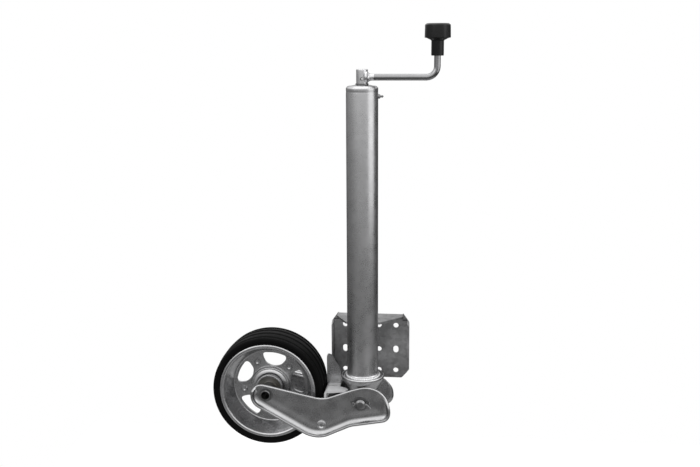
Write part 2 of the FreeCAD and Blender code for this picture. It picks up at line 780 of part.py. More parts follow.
def swing_room():
    """Room on the heel's side in which the fork swings past the foot of the mounting plate."""
    foot = V(0, 0, PLATE_FOOT_Z - SWING_GAP)
    height = 60
    wide = 2 * PLATE_FRONT_Y
    ring = Part.makeCylinder(wide, height, foot, Z_AXIS)
    ring = ring.cut(Part.makeCylinder(PLATE_FRONT_Y - SWING_GAP, height, foot, Z_AXIS))
    return ring.common(Part.makeBox(wide, 2 * wide, height, foot - V(0, wide, 0)))


def on_web_face(edge):
    """True for an edge of the pocket that lies on the web's outer surface."""
    middle = edge.valueAt((edge.FirstParameter + edge.LastParameter) / 2)
    if abs(edge.Vertexes[0].Point.y - edge.Vertexes[-1].Point.y) > 30:
        return False
    x = middle.x - JOGGLE_SLANT * (middle.z - PIVOT_Z)
    share = min(1, max(0, (x - FORK_WIDE_X) / (FORK_NARROW_X - FORK_WIDE_X)))
    web_y = -(FORK_WIDE_Y + FORK_T) + share * (FORK_WIDE_Y - FORK_NARROW_Y)
    return middle.y > web_y - 2.5


def fork_plate_front():
    """Front side plate, whose flange is left off along the top."""
    limit = [
        (-230, 30),
        (-230, -16),
        (-203, -16),
        (-188, -40),
        (-74, -60),
        (0, -60),
        (48, -52),
        (62, -33),
        (90, -33),
        (90, 30),
    ]
    above = prism(limit, in_xz, V(0, -100, 0), V(0, 100, 0)).common(joggled_slab(FORK_T, 60))
    return fork_plate().cut(above)


def fork_plate_rear():
    """Rear side plate, flanged all round but over the heel, with a seat for the axle's clip."""
    limit = [
        (5, 30),
        (5, -60),
        (48, -52),
        (62, -33),
        (90, -33),
        (90, 30),
    ]
    above = prism(limit, in_xz, V(0, -100, 0), V(0, 100, 0)).common(joggled_slab(FORK_T, 60))
    clip_seat = bar_y(AXLE_X, AXLE_Z, AXLE_CLIP_R + 0.6, FORK_WIDE_Y + FORK_T, 2 * FORK_WIDE_Y)
    return mirrored(fork_plate().cut(above)).cut(clip_seat)


def between_plates():
    """The room between the two side plates."""
    front = fork_path(-SEAT_GAP)
    back = [(corner[0], -corner[1], *corner[2:]) for corner in front[::-1]]
    return leaning_prism(front + back)


def stop_bar():
    """Round bar welded between the side plates; it meets the foot of the inner tube when the fork is down."""
    reach_x = INNER_R + STOP_BAR_R + 0.3
    reach_z = STOP_BAR_R
    distance = math.hypot(reach_x, reach_z)
    turn = math.atan2(reach_z, reach_x) - math.radians(UNFOLD_DEGREES)
    half = FORK_NARROW_Y - SEAT_GAP
    return bar_y(distance * math.cos(turn), PIVOT_Z + distance * math.sin(turn), STOP_BAR_R, -half, half)


def cam_plate():
    """Upright plate that rides on the collar's rim to fold the fork, tabbed into the bridge below it."""
    reach_x = -COLLAR_R - 0.6
    foot_z = DECK_TOP_Z + SEAT_GAP
    outline = [
        (-70.3, foot_z),
        (CAM_TAB_X, foot_z),
        (CAM_TAB_X, foot_z - DECK_T),
        (CAM_TAB_END_X, foot_z - DECK_T),
        (CAM_TAB_END_X, foot_z),
        (reach_x, foot_z),
        (reach_x, 12, 20),
        (-60.3, 37.2, 1.5),
        (-68.6, 40.4, 2.5),
        (-70.3, 34, 8),
    ]
    return prism(outline, in_xz, V(0, -CAM_T / 2, 0), V(0, CAM_T, 0))


def cam_bridge():
    """Pressed bridge between the side plates: a level deck with an apron towards the tyre and two arms."""
    foot_z = DECK_TOP_Z - DECK_T
    angle = [
        (DECK_EDGE_X, DECK_APRON_Z),
        (DECK_EDGE_X + DECK_T, DECK_APRON_Z),
        (DECK_EDGE_X + DECK_T, foot_z, 2),
        (DECK_ARM_X, foot_z),
        (DECK_ARM_X, DECK_TOP_Z),
        (DECK_EDGE_X, DECK_TOP_Z, 2 + DECK_T),
    ]
    bent = prism(angle, in_xz, V(0, -60, 0), V(0, 120, 0))
    plan = [
        (DECK_EDGE_X - 1, -60),
        (DECK_ARM_X - 12, -60),
        (DECK_ARM_X, -INNER_R - 9, 2),
        (DECK_ARM_X - 5, -INNER_R - 3, 2),
        (-COLLAR_R - 1, -21, 3),
        (-COLLAR_R - 1, 21, 3),
        (DECK_ARM_X - 5, INNER_R + 3, 2),
        (DECK_ARM_X, INNER_R + 9, 2),
        (DECK_ARM_X - 12, 60),
        (DECK_EDGE_X - 1, 60),
    ]
    bridge = bent.common(prism(plan, in_xy, V(0, 0, -100), V(0, 0, 150))).common(between_plates())
    tab_room = CAM_T / 2 + SEAT_GAP
    tab_length = CAM_TAB_END_X - CAM_TAB_X + 2 * SEAT_GAP
    cutters = [Part.makeBox(tab_length, 2 * tab_room, 20, V(CAM_TAB_X - SEAT_GAP, -tab_room, foot_z - 5))]
    slit_start_x = DECK_EDGE_X - 1
    for side in (-1, 1):
        slit_y = side * DECK_SLIT_Y - DECK_SLIT_WIDTH / 2
        corner = V(slit_start_x, slit_y, foot_z - 5)
        cutters.append(Part.makeBox(DECK_SLIT_END_X - slit_start_x, DECK_SLIT_WIDTH, 20, corner))
    return bridge.cut(Part.makeCompound(cutters))


def spacer_tube():
    """Tube that holds the two side plates apart behind the tyre."""
    half = FORK_WIDE_Y - SEAT_GAP
    return ring_y(SPACER_X, SPACER_Z, SPACER_R, RIVET_R + SEAT_GAP, -half, half)


def spacer_rivet():
    """Long rivet through both side plates and the spacer, with a dimpled head at each end."""
    shank = bar_y(SPACER_X, SPACER_Z, RIVET_R, -FORK_WIDE_Y - FORK_T, FORK_WIDE_Y + FORK_T)
    face_y = FORK_WIDE_Y + FORK_T + SEAT_GAP
    dimpled = [
        (0, face_y),
        (RIVET_HEAD_R, face_y),
        (RIVET_HEAD_R, face_y + 3, 1.2),
        (6, face_y + 4, 1),
        (3.5, face_y + 2.6, 1),
        (0, face_y + 2.6),
    ]
    head = turned(dimpled, at_spacer, V(SPACER_X, 0, SPACER_Z), Y_AXIS)
    neck = bar_y(SPACER_X, SPACER_Z, RIVET_R, face_y - 1, face_y)
    rear = union([head, neck])
    return union([shank, rear, mirrored(rear)])


def at_spacer(radius, y):
    """A point at a radius from the spacer's axis."""
    return V(SPACER_X + radius, y, SPACER_Z)


def pivot_pin():
    """Clevis pin through the fork and the pivot tube, headed at the back and cross-drilled in front."""
    face_y = FORK_NARROW_Y + FORK_T + SEAT_GAP
    end_y = FORK_NARROW_Y + FORK_T + 11
    pin = turned_pivot([
        (0, -end_y),
        (PIVOT_PIN_R - 3.5, -end_y, 0.5),
        (PIVOT_PIN_R, -end_y + 3, 0.5),
        (PIVOT_PIN_R, face_y),
        (PIN_HEAD_R, face_y, 0.5),
        (PIN_HEAD_R, face_y + PIN_HEAD_T, 2),
        (0, face_y + PIN_HEAD_T),
    ])
    cross = Part.makeCylinder(2.4, 60, V(-30, cotter_y(), PIVOT_Z), X_AXIS)
    return pin.cut(cross)


def cotter_y():
    """Where the split pin crosses the clevis pin."""
    return -(FORK_NARROW_Y + FORK_T + COTTER_OFFSET)


def pivot_washer():
    """Washer between the front side plate and the split pin."""
    face_y = FORK_NARROW_Y + FORK_T + SEAT_GAP
    return ring_y(0, PIVOT_Z, PIN_HEAD_R, PIVOT_PIN_R + 0.3, -face_y - PIVOT_WASHER_T, -face_y)


def bent_wire(points, bend_r, wire_r):
    """Round wire along straight runs joined by arcs of one radius."""
    edges = []
    start = points[0]
    for here, after in zip(points[1:-1], points[2:]):
        back = (start - here).normalize()
        on = (after - here).normalize()
        half = back.getAngle(on) / 2
        reach = bend_r / math.tan(half)
        middle = here + (back + on).normalize() * (bend_r / math.sin(half) - bend_r)
        edges.append(Part.LineSegment(start, here + back * reach).toShape())
        edges.append(Part.Arc(here + back * reach, middle, here + on * reach).toShape())
        start = here + on * reach
    edges.append(Part.LineSegment(start, points[-1]).toShape())
    path = Part.Wire(edges)
    section = Part.Wire(Part.makeCircle(wire_r, points[0], points[1] - points[0]))
    return path.makePipeShell([section], True, True)


def pivot_cotter():
    """Split pin: an eye on the left and two legs bent apart on the right."""
    y = cotter_y()
    eye = Part.makeTorus(2.6, 1.1, V(-PIVOT_PIN_R - 3.6, y, PIVOT_Z), Y_AXIS)
    shank = Part.makeCylinder(2.1, 2 * PIVOT_PIN_R + 2, V(-PIVOT_PIN_R - 1.4, y, PIVOT_Z), X_AXIS)
    root = V(PIVOT_PIN_R - 1, y, PIVOT_Z)
    lower = bent_wire([root + V(0, 0, -0.9), root + V(4.5, 0, -0.9), root + V(11, 0, -8)], 2, 1.05)
    upper = bent_wire([root + V(0, 0, 0.9), root + V(4.5, 0, 0.9), root + V(9, -3, 5)], 2, 1.05)
    return union([eye, shank, lower, upper])


# Wheel and axle
def axle_tube():
    """Hollow axle through both side plates."""
    end_y = FORK_WIDE_Y + FORK_T + AXLE_END
    return turned_wheel([
        (AXLE_BORE_R, -end_y),
        (AXLE_R - 0.6, -end_y, 0.3),
        (AXLE_R, -end_y + 1.2, 0.3),
        (AXLE_R, end_y - 1.2, 0.3),
        (AXLE_R - 0.6, end_y, 0.3),
        (AXLE_BORE_R, end_y),
    ])


def axle_clips():
    """Push-on retaining rings on both ends of the axle, with raised prongs."""
    face_y = FORK_WIDE_Y + FORK_T + SEAT_GAP
    ring = ring_y(AXLE_X, AXLE_Z, AXLE_CLIP_R, AXLE_R + 0.1, face_y, face_y + AXLE_CLIP_T)
    prongs = []
    for turn in (80, 112, 262, 322, 342):
        prong = Part.makeBox(3.4, 2.6, 3, V(AXLE_R + 0.12, face_y + 0.7, -1.5))
        prong.rotate(V(0, 0, 0), Y_AXIS, -turn)
        prong.translate(V(AXLE_X, 0, AXLE_Z))
        prongs.append(prong)
    clip = union([ring] + prongs)
    return Part.makeCompound([clip, mirrored(clip)])


def axle_sleeves():
    """Sleeves on the axle between the hub bearings and the side plates."""
    near_y = HUB_HALF - 2
    far_y = FORK_WIDE_Y - SEAT_GAP
    sleeve = turned_wheel([
        (AXLE_R + SEAT_GAP, near_y),
        (13, near_y, 0.5),
        (SLEEVE_R, near_y + 8),
        (SLEEVE_R, far_y, 0.5),
        (AXLE_R + SEAT_GAP, far_y),
    ])
    return Part.makeCompound([sleeve, mirrored(sleeve)])


def bearing_inner_rings():
    """Inner rings of the hub's ball bearings, and the tube between them."""
    outer_y = HUB_HALF - 2 - SEAT_GAP
    ring = turned_wheel([
        (AXLE_R + SEAT_GAP, outer_y - BEARING_WIDTH),
        (INNER_RING_R, outer_y - BEARING_WIDTH),
        (INNER_RING_R, outer_y, 0.6),
        (AXLE_R + SEAT_GAP, outer_y),
    ])
    return Part.makeCompound([ring, mirrored(ring)])


def bearing_outer_rings():
    """Outer rings of the hub's ball bearings, with their shields."""
    outer_y = HUB_HALF - 2 - SEAT_GAP
    ring = turned_wheel([
        (SHIELD_R, outer_y - 1.6),
        (19.5, outer_y - 1.6),
        (19.5, outer_y - BEARING_WIDTH + 1.6),
        (SHIELD_R, outer_y - BEARING_WIDTH + 1.6),
        (SHIELD_R, outer_y - BEARING_WIDTH + 0.6),
        (19.8, outer_y - BEARING_WIDTH + 0.6),
        (20.5, outer_y - BEARING_WIDTH),
        (HUB_BORE_R - SEAT_GAP, outer_y - BEARING_WIDTH),
        (HUB_BORE_R - SEAT_GAP, outer_y, 0.6),
        (20.5, outer_y),
        (19.8, outer_y - 0.6),
        (SHIELD_R, outer_y - 0.6),
    ])
    return Part.makeCompound([ring, mirrored(ring)])


def hub_tube():
    """Hub barrel that carries the bearings and both halves of the rim."""
    stop_y = HUB_HALF - 2 - 2 * SEAT_GAP - BEARING_WIDTH
    return turned_wheel([
        (HUB_BORE_R, -HUB_HALF),
        (HUB_R, -HUB_HALF, 1),
        (HUB_R, HUB_HALF, 1),
        (HUB_BORE_R, HUB_HALF),
        (HUB_BORE_R, stop_y),
        (HUB_BORE_R - 3, stop_y),
        (HUB_BORE_R - 3, -stop_y),
        (HUB_BORE_R, -stop_y),
    ])


def opening_outline():
    """One opening along X from the wheel's centre: round towards the hub, concentric outside."""
    crest = OPENING_OUTER_R / math.cos(math.radians(OPENING_HALF_ANGLE / 2))
    turn = math.radians(OPENING_HALF_ANGLE)
    side = [
        (OPENING_INNER_R + 5, 15.6, 14),
        (OPENING_INNER_R + 16.5, 22.9, 12),
        (crest * math.cos(turn), crest * math.sin(turn), 6),
    ]
    far_side = [(x, -across, rounding) for x, across, rounding in side[::-1]]
    return [(OPENING_INNER_R, 0, 25)] + side + [(crest, 0, OPENING_OUTER_R)] + far_side


def openings():
    """Cutters for the five openings through the discs."""
    cutter = prism(opening_outline(), in_xz, V(AXLE_X, -20, AXLE_Z), V(0, 40, 0))
    cutters = []
    for k in range(OPENING_COUNT):
        turned_cutter = cutter.copy()
        turned_cutter.rotate(V(AXLE_X, 0, AXLE_Z), Y_AXIS, -(OPENING_PHASE + 360 * k / OPENING_COUNT))
        cutters.append(turned_cutter)
    return Part.makeCompound(cutters)


def rivet_places():
    """Centres of the five rivets, halfway between the openings."""
    places = []
    for k in range(OPENING_COUNT):
        turn = math.radians(OPENING_PHASE + 360 * (k + 0.5) / OPENING_COUNT)
        x = AXLE_X + RIM_RIVET_RING_R * math.cos(turn)
        z = AXLE_Z + RIM_RIVET_RING_R * math.sin(turn)
        places.append((x, z))
    return places


def rim_half():
    """Rear half of the rim: a pressed disc with a rolled hub edge, a dished wall and a rolled lip."""
    inner_y = SEAT_GAP
    outer_y = inner_y + RIM_SHEET
    half = turned_wheel([
        (HUB_R + SEAT_GAP, inner_y),
        (DISC_EDGE_R + 4, inner_y, 5.5),
        (DISC_EDGE_R + 14, RIM_LIP_Y - 12, 16),
        (RIM_LIP_R, RIM_LIP_Y - 5, 2),
        (RIM_LIP_R, RIM_LIP_Y, 3.2),
        (RIM_LIP_R - 8, RIM_LIP_Y, 3.8),
        (DISC_EDGE_R + 11, RIM_LIP_Y - 10, 14),
        (DISC_EDGE_R, outer_y, 3),
        (39.6, outer_y, 2),
        (37.6, outer_y + 5, 2),
        (33.4, outer_y + 5, 2),
        (31.4, outer_y + 1.4, 1),
        (HUB_R + SEAT_GAP, outer_y + 1.4, 0.5),
    ])
    holes = [bar_y(x, z, RIM_RIVET_R + SEAT_GAP, -20, 20) for x, z in rivet_places()]
    return half.cut(openings()).cut(Part.makeCompound(holes))


def rim_half_front():
    return mirrored(rim_half())


def rim_half_rear():
    return rim_half()


def rim_rivets():
    """Five rivets that clamp the two halves of the rim together."""
    face_y = RIM_SHEET + 2 * SEAT_GAP
    rivets = []
    for x, z in rivet_places():
        shank = bar_y(x, z, RIM_RIVET_R, -face_y, face_y)
        head = Part.makeCone(6.8, 5.2, 2.2, V(x, face_y, z), Y_AXIS)
        dimple = Part.makeSphere(5, V(x, face_y + 6.2, z))
        head = head.cut(dimple)
        rivets.append(union([shank, head, mirrored(head)]))
    return Part.makeCompound(rivets)


def tyre_side():
    """Corners of one side of the tyre's section, from its bead to the edge of its tread, for the far side."""
    return [
        (DISC_EDGE_R + 9, 5, 3),
        (DISC_EDGE_R + 18, RIM_LIP_Y - 12, 16),
        (RIM_LIP_R + 0.1, RIM_LIP_Y - 6),
        (RIM_LIP_R + 0.1, RIM_LIP_Y - 0.5),
        (RIM_LIP_R + 4, TYRE_HALF - 1.2, 2.5),
        (TYRE_R - CROWN_FALL, TYRE_HALF, TYRE_SHOULDER_R),
    ]


def tyre():
    """Solid rubber tyre with rounded shoulders and broad shallow grooves that leave ribs round its tread."""
    section = [(corner[0], -corner[1], *corner[2:]) for corner in tyre_side()]
    for y in TREAD_GROOVES:
        crown = TYRE_R - CROWN_FALL * (y / TYRE_HALF) ** 2
        section += [
            (crown, y - TREAD_GROOVE_HALF, 0.8),
            (crown - TREAD_GROOVE_DEPTH, y - TREAD_GROOVE_HALF + TREAD_GROOVE_FLANK, 1.5),
            (crown - TREAD_GROOVE_DEPTH, y + TREAD_GROOVE_HALF - TREAD_GROOVE_FLANK, 1.5),
            (crown, y + TREAD_GROOVE_HALF, 0.8),
        ]
    section += tyre_side()[::-1]
    return turned_wheel(section)


PIECES = {
    "outer_tube": outer_tube,
    "guide_collar": guide_collar,
    "top_cap": top_cap,
    "mounting_plate": mounting_plate,
    "plate_ribs": plate_ribs,
    "grease_nipple": grease_nipple,
    "bearing_upper_race": bearing_upper_race,
    "bearing_lower_race": bearing_lower_race,
    "bearing_balls": bearing_balls,
    "lifting_screw": lifting_screw,
    "crank_washer": crank_washer,
    "crank_boss": crank_boss,
    "roll_pin": roll_pin,
    "crank_arm": crank_arm,
    "knob_clip": knob_clip,
    "crank_knob": crank_knob,
    "guide_ring": guide_ring,
    "ring_stop": ring_stop,
    "screw_nut": screw_nut,
    "inner_tube": inner_tube,
    "pivot_tube": pivot_tube,
    "pivot_bushes": pivot_bushes,
    "fork_plate_front": fork_plate_front,
    "fork_plate_rear": fork_plate_rear,
    "stop_bar": stop_bar,
    "cam_plate": cam_plate,
    "cam_bridge": cam_bridge,
    "spacer_tube": spacer_tube,
    "spacer_rivet": spacer_rivet,
    "pivot_pin": pivot_pin,
    "pivot_washer": pivot_washer,
    "pivot_cotter": pivot_cotter,
    "axle_tube": axle_tube,
    "axle_clips": axle_clips,
    "axle_sleeves": axle_sleeves,
    "bearing_inner_rings": bearing_inner_rings,
    "bearing_outer_rings": bearing_outer_rings,
    "hub_tube": hub_tube,
    "rim_half_front": rim_half_front,
    "rim_half_rear": rim_half_rear,
    "rim_rivets": rim_rivets,
    "tyre": tyre,
}


def main():
    os.makedirs("parts", exist_ok=True)
    for name, make in PIECES.items():
        shape = make()
        shape.translate(TO_ORIGIN)
        shape.exportStep(f"parts/{name}.step")
        solids = len(shape.Solids)
        print(f"{name}: {solids} solid(s), {shape.Volume / 1000:.2f} cm3, valid {shape.isValid()}")


main()
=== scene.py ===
# %% [markdown]
# A folding jockey wheel for a trailer, dressed for its portrait.
#
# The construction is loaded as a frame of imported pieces, each already at its real size and place.
# This lesson gives every piece its finish, and models in mesh code those whose surfaces need more
# than plain solids can hold: the galvanised tube, the welded collar, the moulded knob, the tyre, the
# beads round the hub and the pressed plates of the fork. Everything is in metres, with +Z up along
# the tube and the wheel folded up towards -X.

import json
import math

import bmesh
import bpy
from mathutils import Matrix, Vector
from mathutils.geometry import delaunay_2d_cdt
from mathutils.kdtree import KDTree


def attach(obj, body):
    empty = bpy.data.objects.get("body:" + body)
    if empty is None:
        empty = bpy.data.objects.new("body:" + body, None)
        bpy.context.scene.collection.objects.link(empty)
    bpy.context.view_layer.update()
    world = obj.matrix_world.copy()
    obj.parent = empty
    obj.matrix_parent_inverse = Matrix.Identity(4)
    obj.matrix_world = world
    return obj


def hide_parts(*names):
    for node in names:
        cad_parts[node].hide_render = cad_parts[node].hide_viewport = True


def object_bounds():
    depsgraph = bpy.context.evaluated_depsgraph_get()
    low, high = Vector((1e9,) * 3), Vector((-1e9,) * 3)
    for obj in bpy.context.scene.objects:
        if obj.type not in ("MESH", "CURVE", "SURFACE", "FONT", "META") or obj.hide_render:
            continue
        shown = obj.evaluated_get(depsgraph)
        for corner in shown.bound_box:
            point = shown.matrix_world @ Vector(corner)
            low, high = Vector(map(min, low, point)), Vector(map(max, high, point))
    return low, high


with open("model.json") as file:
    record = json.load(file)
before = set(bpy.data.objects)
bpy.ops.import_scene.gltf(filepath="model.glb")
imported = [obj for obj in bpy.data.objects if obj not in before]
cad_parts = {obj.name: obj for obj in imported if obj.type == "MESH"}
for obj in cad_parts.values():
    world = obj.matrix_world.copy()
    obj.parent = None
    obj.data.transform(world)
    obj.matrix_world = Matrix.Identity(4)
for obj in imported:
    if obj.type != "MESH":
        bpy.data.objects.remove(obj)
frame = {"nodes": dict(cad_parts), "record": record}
cad_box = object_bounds()
nodes = frame["nodes"]
MM = 0.001
print("pieces in the frame:", len(nodes))

# %% [markdown]
# The camera stands a little to the right of the jack and above its middle, and looks slightly down.
# Its place was worked out from the photograph by taking the tube's diameter as 60 mm, so it is
# given here as real distances from the middle of the bolt pattern, and real angles. It could also
# be aimed with a Track To constraint, but three plain turns say exactly where it looks.

# %% Camera
CAMERA_PLACE = Vector((0.1642, -1.8293, 0.6117))
CAMERA_TURN = math.radians(6.406)
CAMERA_DOWN = math.radians(11.639)
CAMERA_ROLL = math.radians(-0.29)
FOCAL_PIXELS = 950
IMAGE_WIDTH = 700
SENSOR = 36

camera = bpy.data.cameras.new("camera")
camera.sensor_width = SENSOR
camera.lens = FOCAL_PIXELS / IMAGE_WIDTH * SENSOR
camera_object = bpy.data.objects.new("camera", camera)
bpy.context.scene.collection.objects.link(camera_object)
look = Matrix.Rotation(CAMERA_TURN, 4, "Z") @ Matrix.Rotation(math.pi / 2 - CAMERA_DOWN, 4, "X")
camera_object.matrix_world = Matrix.Translation(CAMERA_PLACE) @ look @ Matrix.Rotation(CAMERA_ROLL, 4, "Z")
bpy.context.scene.camera = camera_object
print("lens in mm:", round(camera.lens, 2))

# %% [markdown]
# Shader trees are built in code here, because the same few sums come back in every finish. A small
# helper adds a node, sets the inputs that are numbers and links those that are other nodes' outputs.

# %% Tools for shader trees
NOISE_SPAN = (0.3, 0.7)


def add_node(tree, kind, operation, inputs):
    """A sum or a mapping whose inputs are numbers or the outputs of other nodes."""
    node = tree.nodes.new(kind)
    if operation:
        node.operation = operation
    for socket, value in inputs.items():
        if isinstance(value, (int, float)):
            node.inputs[socket].default_value = value
        else:
            tree.links.new(value, node.inputs[socket])
    return node.outputs[0]


def spread(tree, value, low, high, source=NOISE_SPAN):
    """A value moved from one span, at first the usual span of a noise, to another span."""
    span = {"Value": value, "From Min": source[0], "From Max": source[1], "To Min": low, "To Max": high}
    return add_node(tree, "ShaderNodeMapRange", None, span)


def combine(tree, operation, first, second):
    """Two values put through one sum; either may be a number."""
    return add_node(tree, "ShaderNodeMath", operation, {0: first, 1: second})


def place_parts(tree, kind):
    """The three parts of a place or a direction."""
    place = tree.nodes.new("ShaderNodeTexCoord")
    parts = tree.nodes.new("ShaderNodeSeparateXYZ")
    tree.links.new(place.outputs[kind], parts.inputs[0])
    return parts.outputs


def mirror_rays(tree):
    """A value that is 1 for mirror and glass rays."""
    path = tree.nodes.new("ShaderNodeLightPath")
    return combine(tree, "MAXIMUM", path.outputs["Is Glossy Ray"], path.outputs["Is Transmission Ray"])


def camera_rays(tree):
    """A value that is 1 for rays from the camera."""
    return tree.nodes.new("ShaderNodeLightPath").outputs["Is Camera Ray"]


print("a noise runs from about", *NOISE_SPAN)

# %% [markdown]
# The stage is a plain pale floor, low enough that the wheel never reaches it when the jack is wound
# down. A brighter lamp would whiten it too, but would wash out the zinc. So white comes from what
# the camera and mirror rays see: behind the part the floor adds a glow of its own for those rays.

# %% Floor
FLOOR_DROP = 0.45
FLOOR_HALF = 1.0
FLOOR_GLOW = 0.7
GLOW_SPAN = (0.25, 0.7)
FLOOR_DULL = 0.9
PALE = (0.8, 0.8, 0.8, 1)
WHITE = (1, 1, 1, 1)

floor_mesh = bpy.data.meshes.new("floor")
shape = bmesh.new()
bmesh.ops.create_grid(shape, x_segments=1, y_segments=1, size=FLOOR_HALF)
bmesh.ops.translate(shape, verts=shape.verts, vec=(0, 0, cad_box[0][2] - FLOOR_DROP))
shape.to_mesh(floor_mesh)
shape.free()
floor = bpy.data.objects.new("floor", floor_mesh)
bpy.context.scene.collection.objects.link(floor)
floor_paint = bpy.data.materials.new("pale_floor")
floor_paint.use_nodes = True
tree = floor_paint.node_tree
paint = tree.nodes["Principled BSDF"]
paint.inputs["Base Color"].default_value = PALE
paint.inputs["Roughness"].default_value = FLOOR_DULL
paint.inputs["Emission Color"].default_value = WHITE
seen = combine(tree, "MAXIMUM", camera_rays(tree), mirror_rays(tree))
behind = spread(tree, place_parts(tree, "Object")[1], 0, FLOOR_GLOW, GLOW_SPAN)
tree.links.new(combine(tree, "MULTIPLY", seen, behind), paint.inputs["Emission Strength"])
floor_mesh.materials.append(floor_paint)
print("floor at", round(cad_box[0][2] - FLOOR_DROP, 3))

# %% [markdown]
# Zinc looks like what it mirrors. A picture of a studio could hang round the part as a backdrop, but
# a few sums on the direction of a ray do the same with nothing to load. Straight behind the part the
# world is white. The rest of the room is grey, darkest on the right, so that the tube keeps a dark
# edge beside its bright one, and dark near the ground. Overhead it is bright again.

# %% World
WORLD_LIGHT = 0.45
BACKDROP_SPAN = (0.93, 0.985)
ROOM_FAR = 0.33
ROOM_NEAR = 0.62
ROOM_SPAN = (-0.7, 0.3)
ROOM_CORNER = 0.1
CORNER_SPAN = (0.5, 0.85)
ROOM_FOOT = 0.14
FOOT_SPAN = (-0.36, -0.05)
ROOM_CEILING = 1.1
CEILING_SPAN = (0.05, 0.35)
NEAR_WALL = (0.77, 0.64)
CORNER_WALL = (0.64, 0.77)

world = bpy.data.worlds.new("studio")
bpy.context.scene.world = world
world.use_nodes = True
tree = world.node_tree
studio = tree.nodes["Background"]
studio.inputs["Color"].default_value = WHITE
across, away, up = place_parts(tree, "Generated")
backdrop = spread(tree, away, 0, 1, BACKDROP_SPAN)
near_across = combine(tree, "MULTIPLY", across, NEAR_WALL[0])
near_away = combine(tree, "MULTIPLY", away, NEAR_WALL[1])
right_front = combine(tree, "SUBTRACT", near_across, near_away)
corner_across = combine(tree, "MULTIPLY", across, CORNER_WALL[0])
corner_away = combine(tree, "MULTIPLY", away, CORNER_WALL[1])
right_back = combine(tree, "ADD", corner_across, corner_away)
walls = spread(tree, right_front, ROOM_FAR, ROOM_NEAR, ROOM_SPAN)
walls = combine(tree, "MULTIPLY", walls, spread(tree, right_back, 1, ROOM_CORNER, CORNER_SPAN))
walls = combine(tree, "MULTIPLY", walls, spread(tree, up, ROOM_FOOT, 1, FOOT_SPAN))
room = combine(tree, "ADD", walls, spread(tree, up, 0, ROOM_CEILING, CEILING_SPAN))
mirrored = combine(tree, "MAXIMUM", backdrop, room)
lit = add_node(tree, "ShaderNodeMix", None, {0: mirror_rays(tree), 2: WORLD_LIGHT, 3: mirrored})
whole = combine(tree, "MAXIMUM", lit, camera_rays(tree))
tree.links.new(whole, studio.inputs["Strength"])
bpy.context.scene.view_settings.view_transform = "Standard"
print("the world lights the part at", WORLD_LIGHT)

# %% [markdown]
# Three soft lamps do the rest. A point lamp would give hard spots on metal, so each is a square that
# faces its target. The first stands on the right, as in the photograph, where the tube is brightest
# on its right front and grows darker towards its foot. One hangs overhead, and whitens every edge
# that faces up. The third only lifts the left side.

# %% Lamps
def soft_lamp(name, place, target, size, glare):
    """A square area lamp that faces a point, as bright to look at as a number of times white."""
    light = bpy.data.lights.new(name, "AREA")
    light.shape = "SQUARE"
    light.size = size
    light.energy = glare * math.pi * size * size
    lamp = bpy.data.objects.new(name, light)
    bpy.context.scene.collection.objects.link(lamp)
    aim = Vector(target) - Vector(place)
    lamp.matrix_world = Matrix.Translation(place) @ aim.to_track_quat("-Z", "Y").to_matrix().to_4x4()


middle = (cad_box[0] + cad_box[1]) / 2
soft_lamp("key_lamp", (0.9, -0.34, 0.52), (0, -0.07, 0.5), 0.8, 1.0)
soft_lamp("top_lamp", (-0.1, 0.1, 1.5), middle, 0.8, 1.3)
soft_lamp("fill_lamp", (-1.5, -1.4, 1.4), middle, 1.0, 1.0)
print("lamps aim at", tuple(round(v, 3) for v in middle))

# %% [markdown]
# Every finish is built from noise in object coordinates, which are metres here. So a noise of scale 50
# makes clouds about two centimetres wide, wherever the piece stands. Pictures of metal would need an
# unwrapped surface on each piece, and noise needs none.

# %% Tools for finishes
def shader_of(material):
    """The main shader of a material."""
    return material.node_tree.nodes["Principled BSDF"]


def new_finish(name):
    """A material with its node tree and its main shader."""
    material = bpy.data.materials.new(name)
    material.use_nodes = True
    return material, material.node_tree, shader_of(material)


def place_noise(tree, scale, detail=3, stretch=(1, 1, 1), distortion=0):
    """Noise in metres, which can be stretched along an axis."""
    place = tree.nodes.new("ShaderNodeTexCoord")
    mapping = tree.nodes.new("ShaderNodeMapping")
    mapping.inputs["Scale"].default_value = stretch
    tree.links.new(place.outputs["Object"], mapping.inputs["Vector"])
    noise = tree.nodes.new("ShaderNodeTexNoise")
    noise.inputs["Scale"].default_value = scale
    noise.inputs["Detail"].default_value = detail
    noise.inputs["Distortion"].default_value = distortion
    tree.links.new(mapping.outputs[0], noise.inputs["Vector"])
    return noise.outputs[0]


def place_cells(tree, scale):
    """A random value for each crystal of a spangle."""
    place = tree.nodes.new("ShaderNodeTexCoord")
    cells = tree.nodes.new("ShaderNodeTexVoronoi")
    cells.inputs["Scale"].default_value = scale
    tree.links.new(place.outputs["Object"], cells.inputs["Vector"])
    value = tree.nodes.new("ShaderNodeSeparateColor")
    tree.links.new(cells.outputs["Color"], value.inputs[0])
    return value.outputs[0]


def tint(tree, value, dark, light):
    """A colour between two colours."""
    ramp = tree.nodes.new("ShaderNodeValToRGB")
    ramp.color_ramp.elements[0].color = (*dark, 1)
    ramp.color_ramp.elements[1].color = (*light, 1)
    tree.links.new(value, ramp.inputs[0])
    return ramp.outputs[0]


def relief(tree, shader, height, strength, distance):
    """Bumps on the surface, as deep as a distance in metres."""
    bump = tree.nodes.new("ShaderNodeBump")
    bump.inputs["Strength"].default_value = strength
    bump.inputs["Distance"].default_value = distance
    tree.links.new(height, bump.inputs["Height"])
    tree.links.new(bump.outputs[0], shader.inputs["Normal"])


print("a noise of scale 50 makes clouds of", 1000 / 50, "mm")

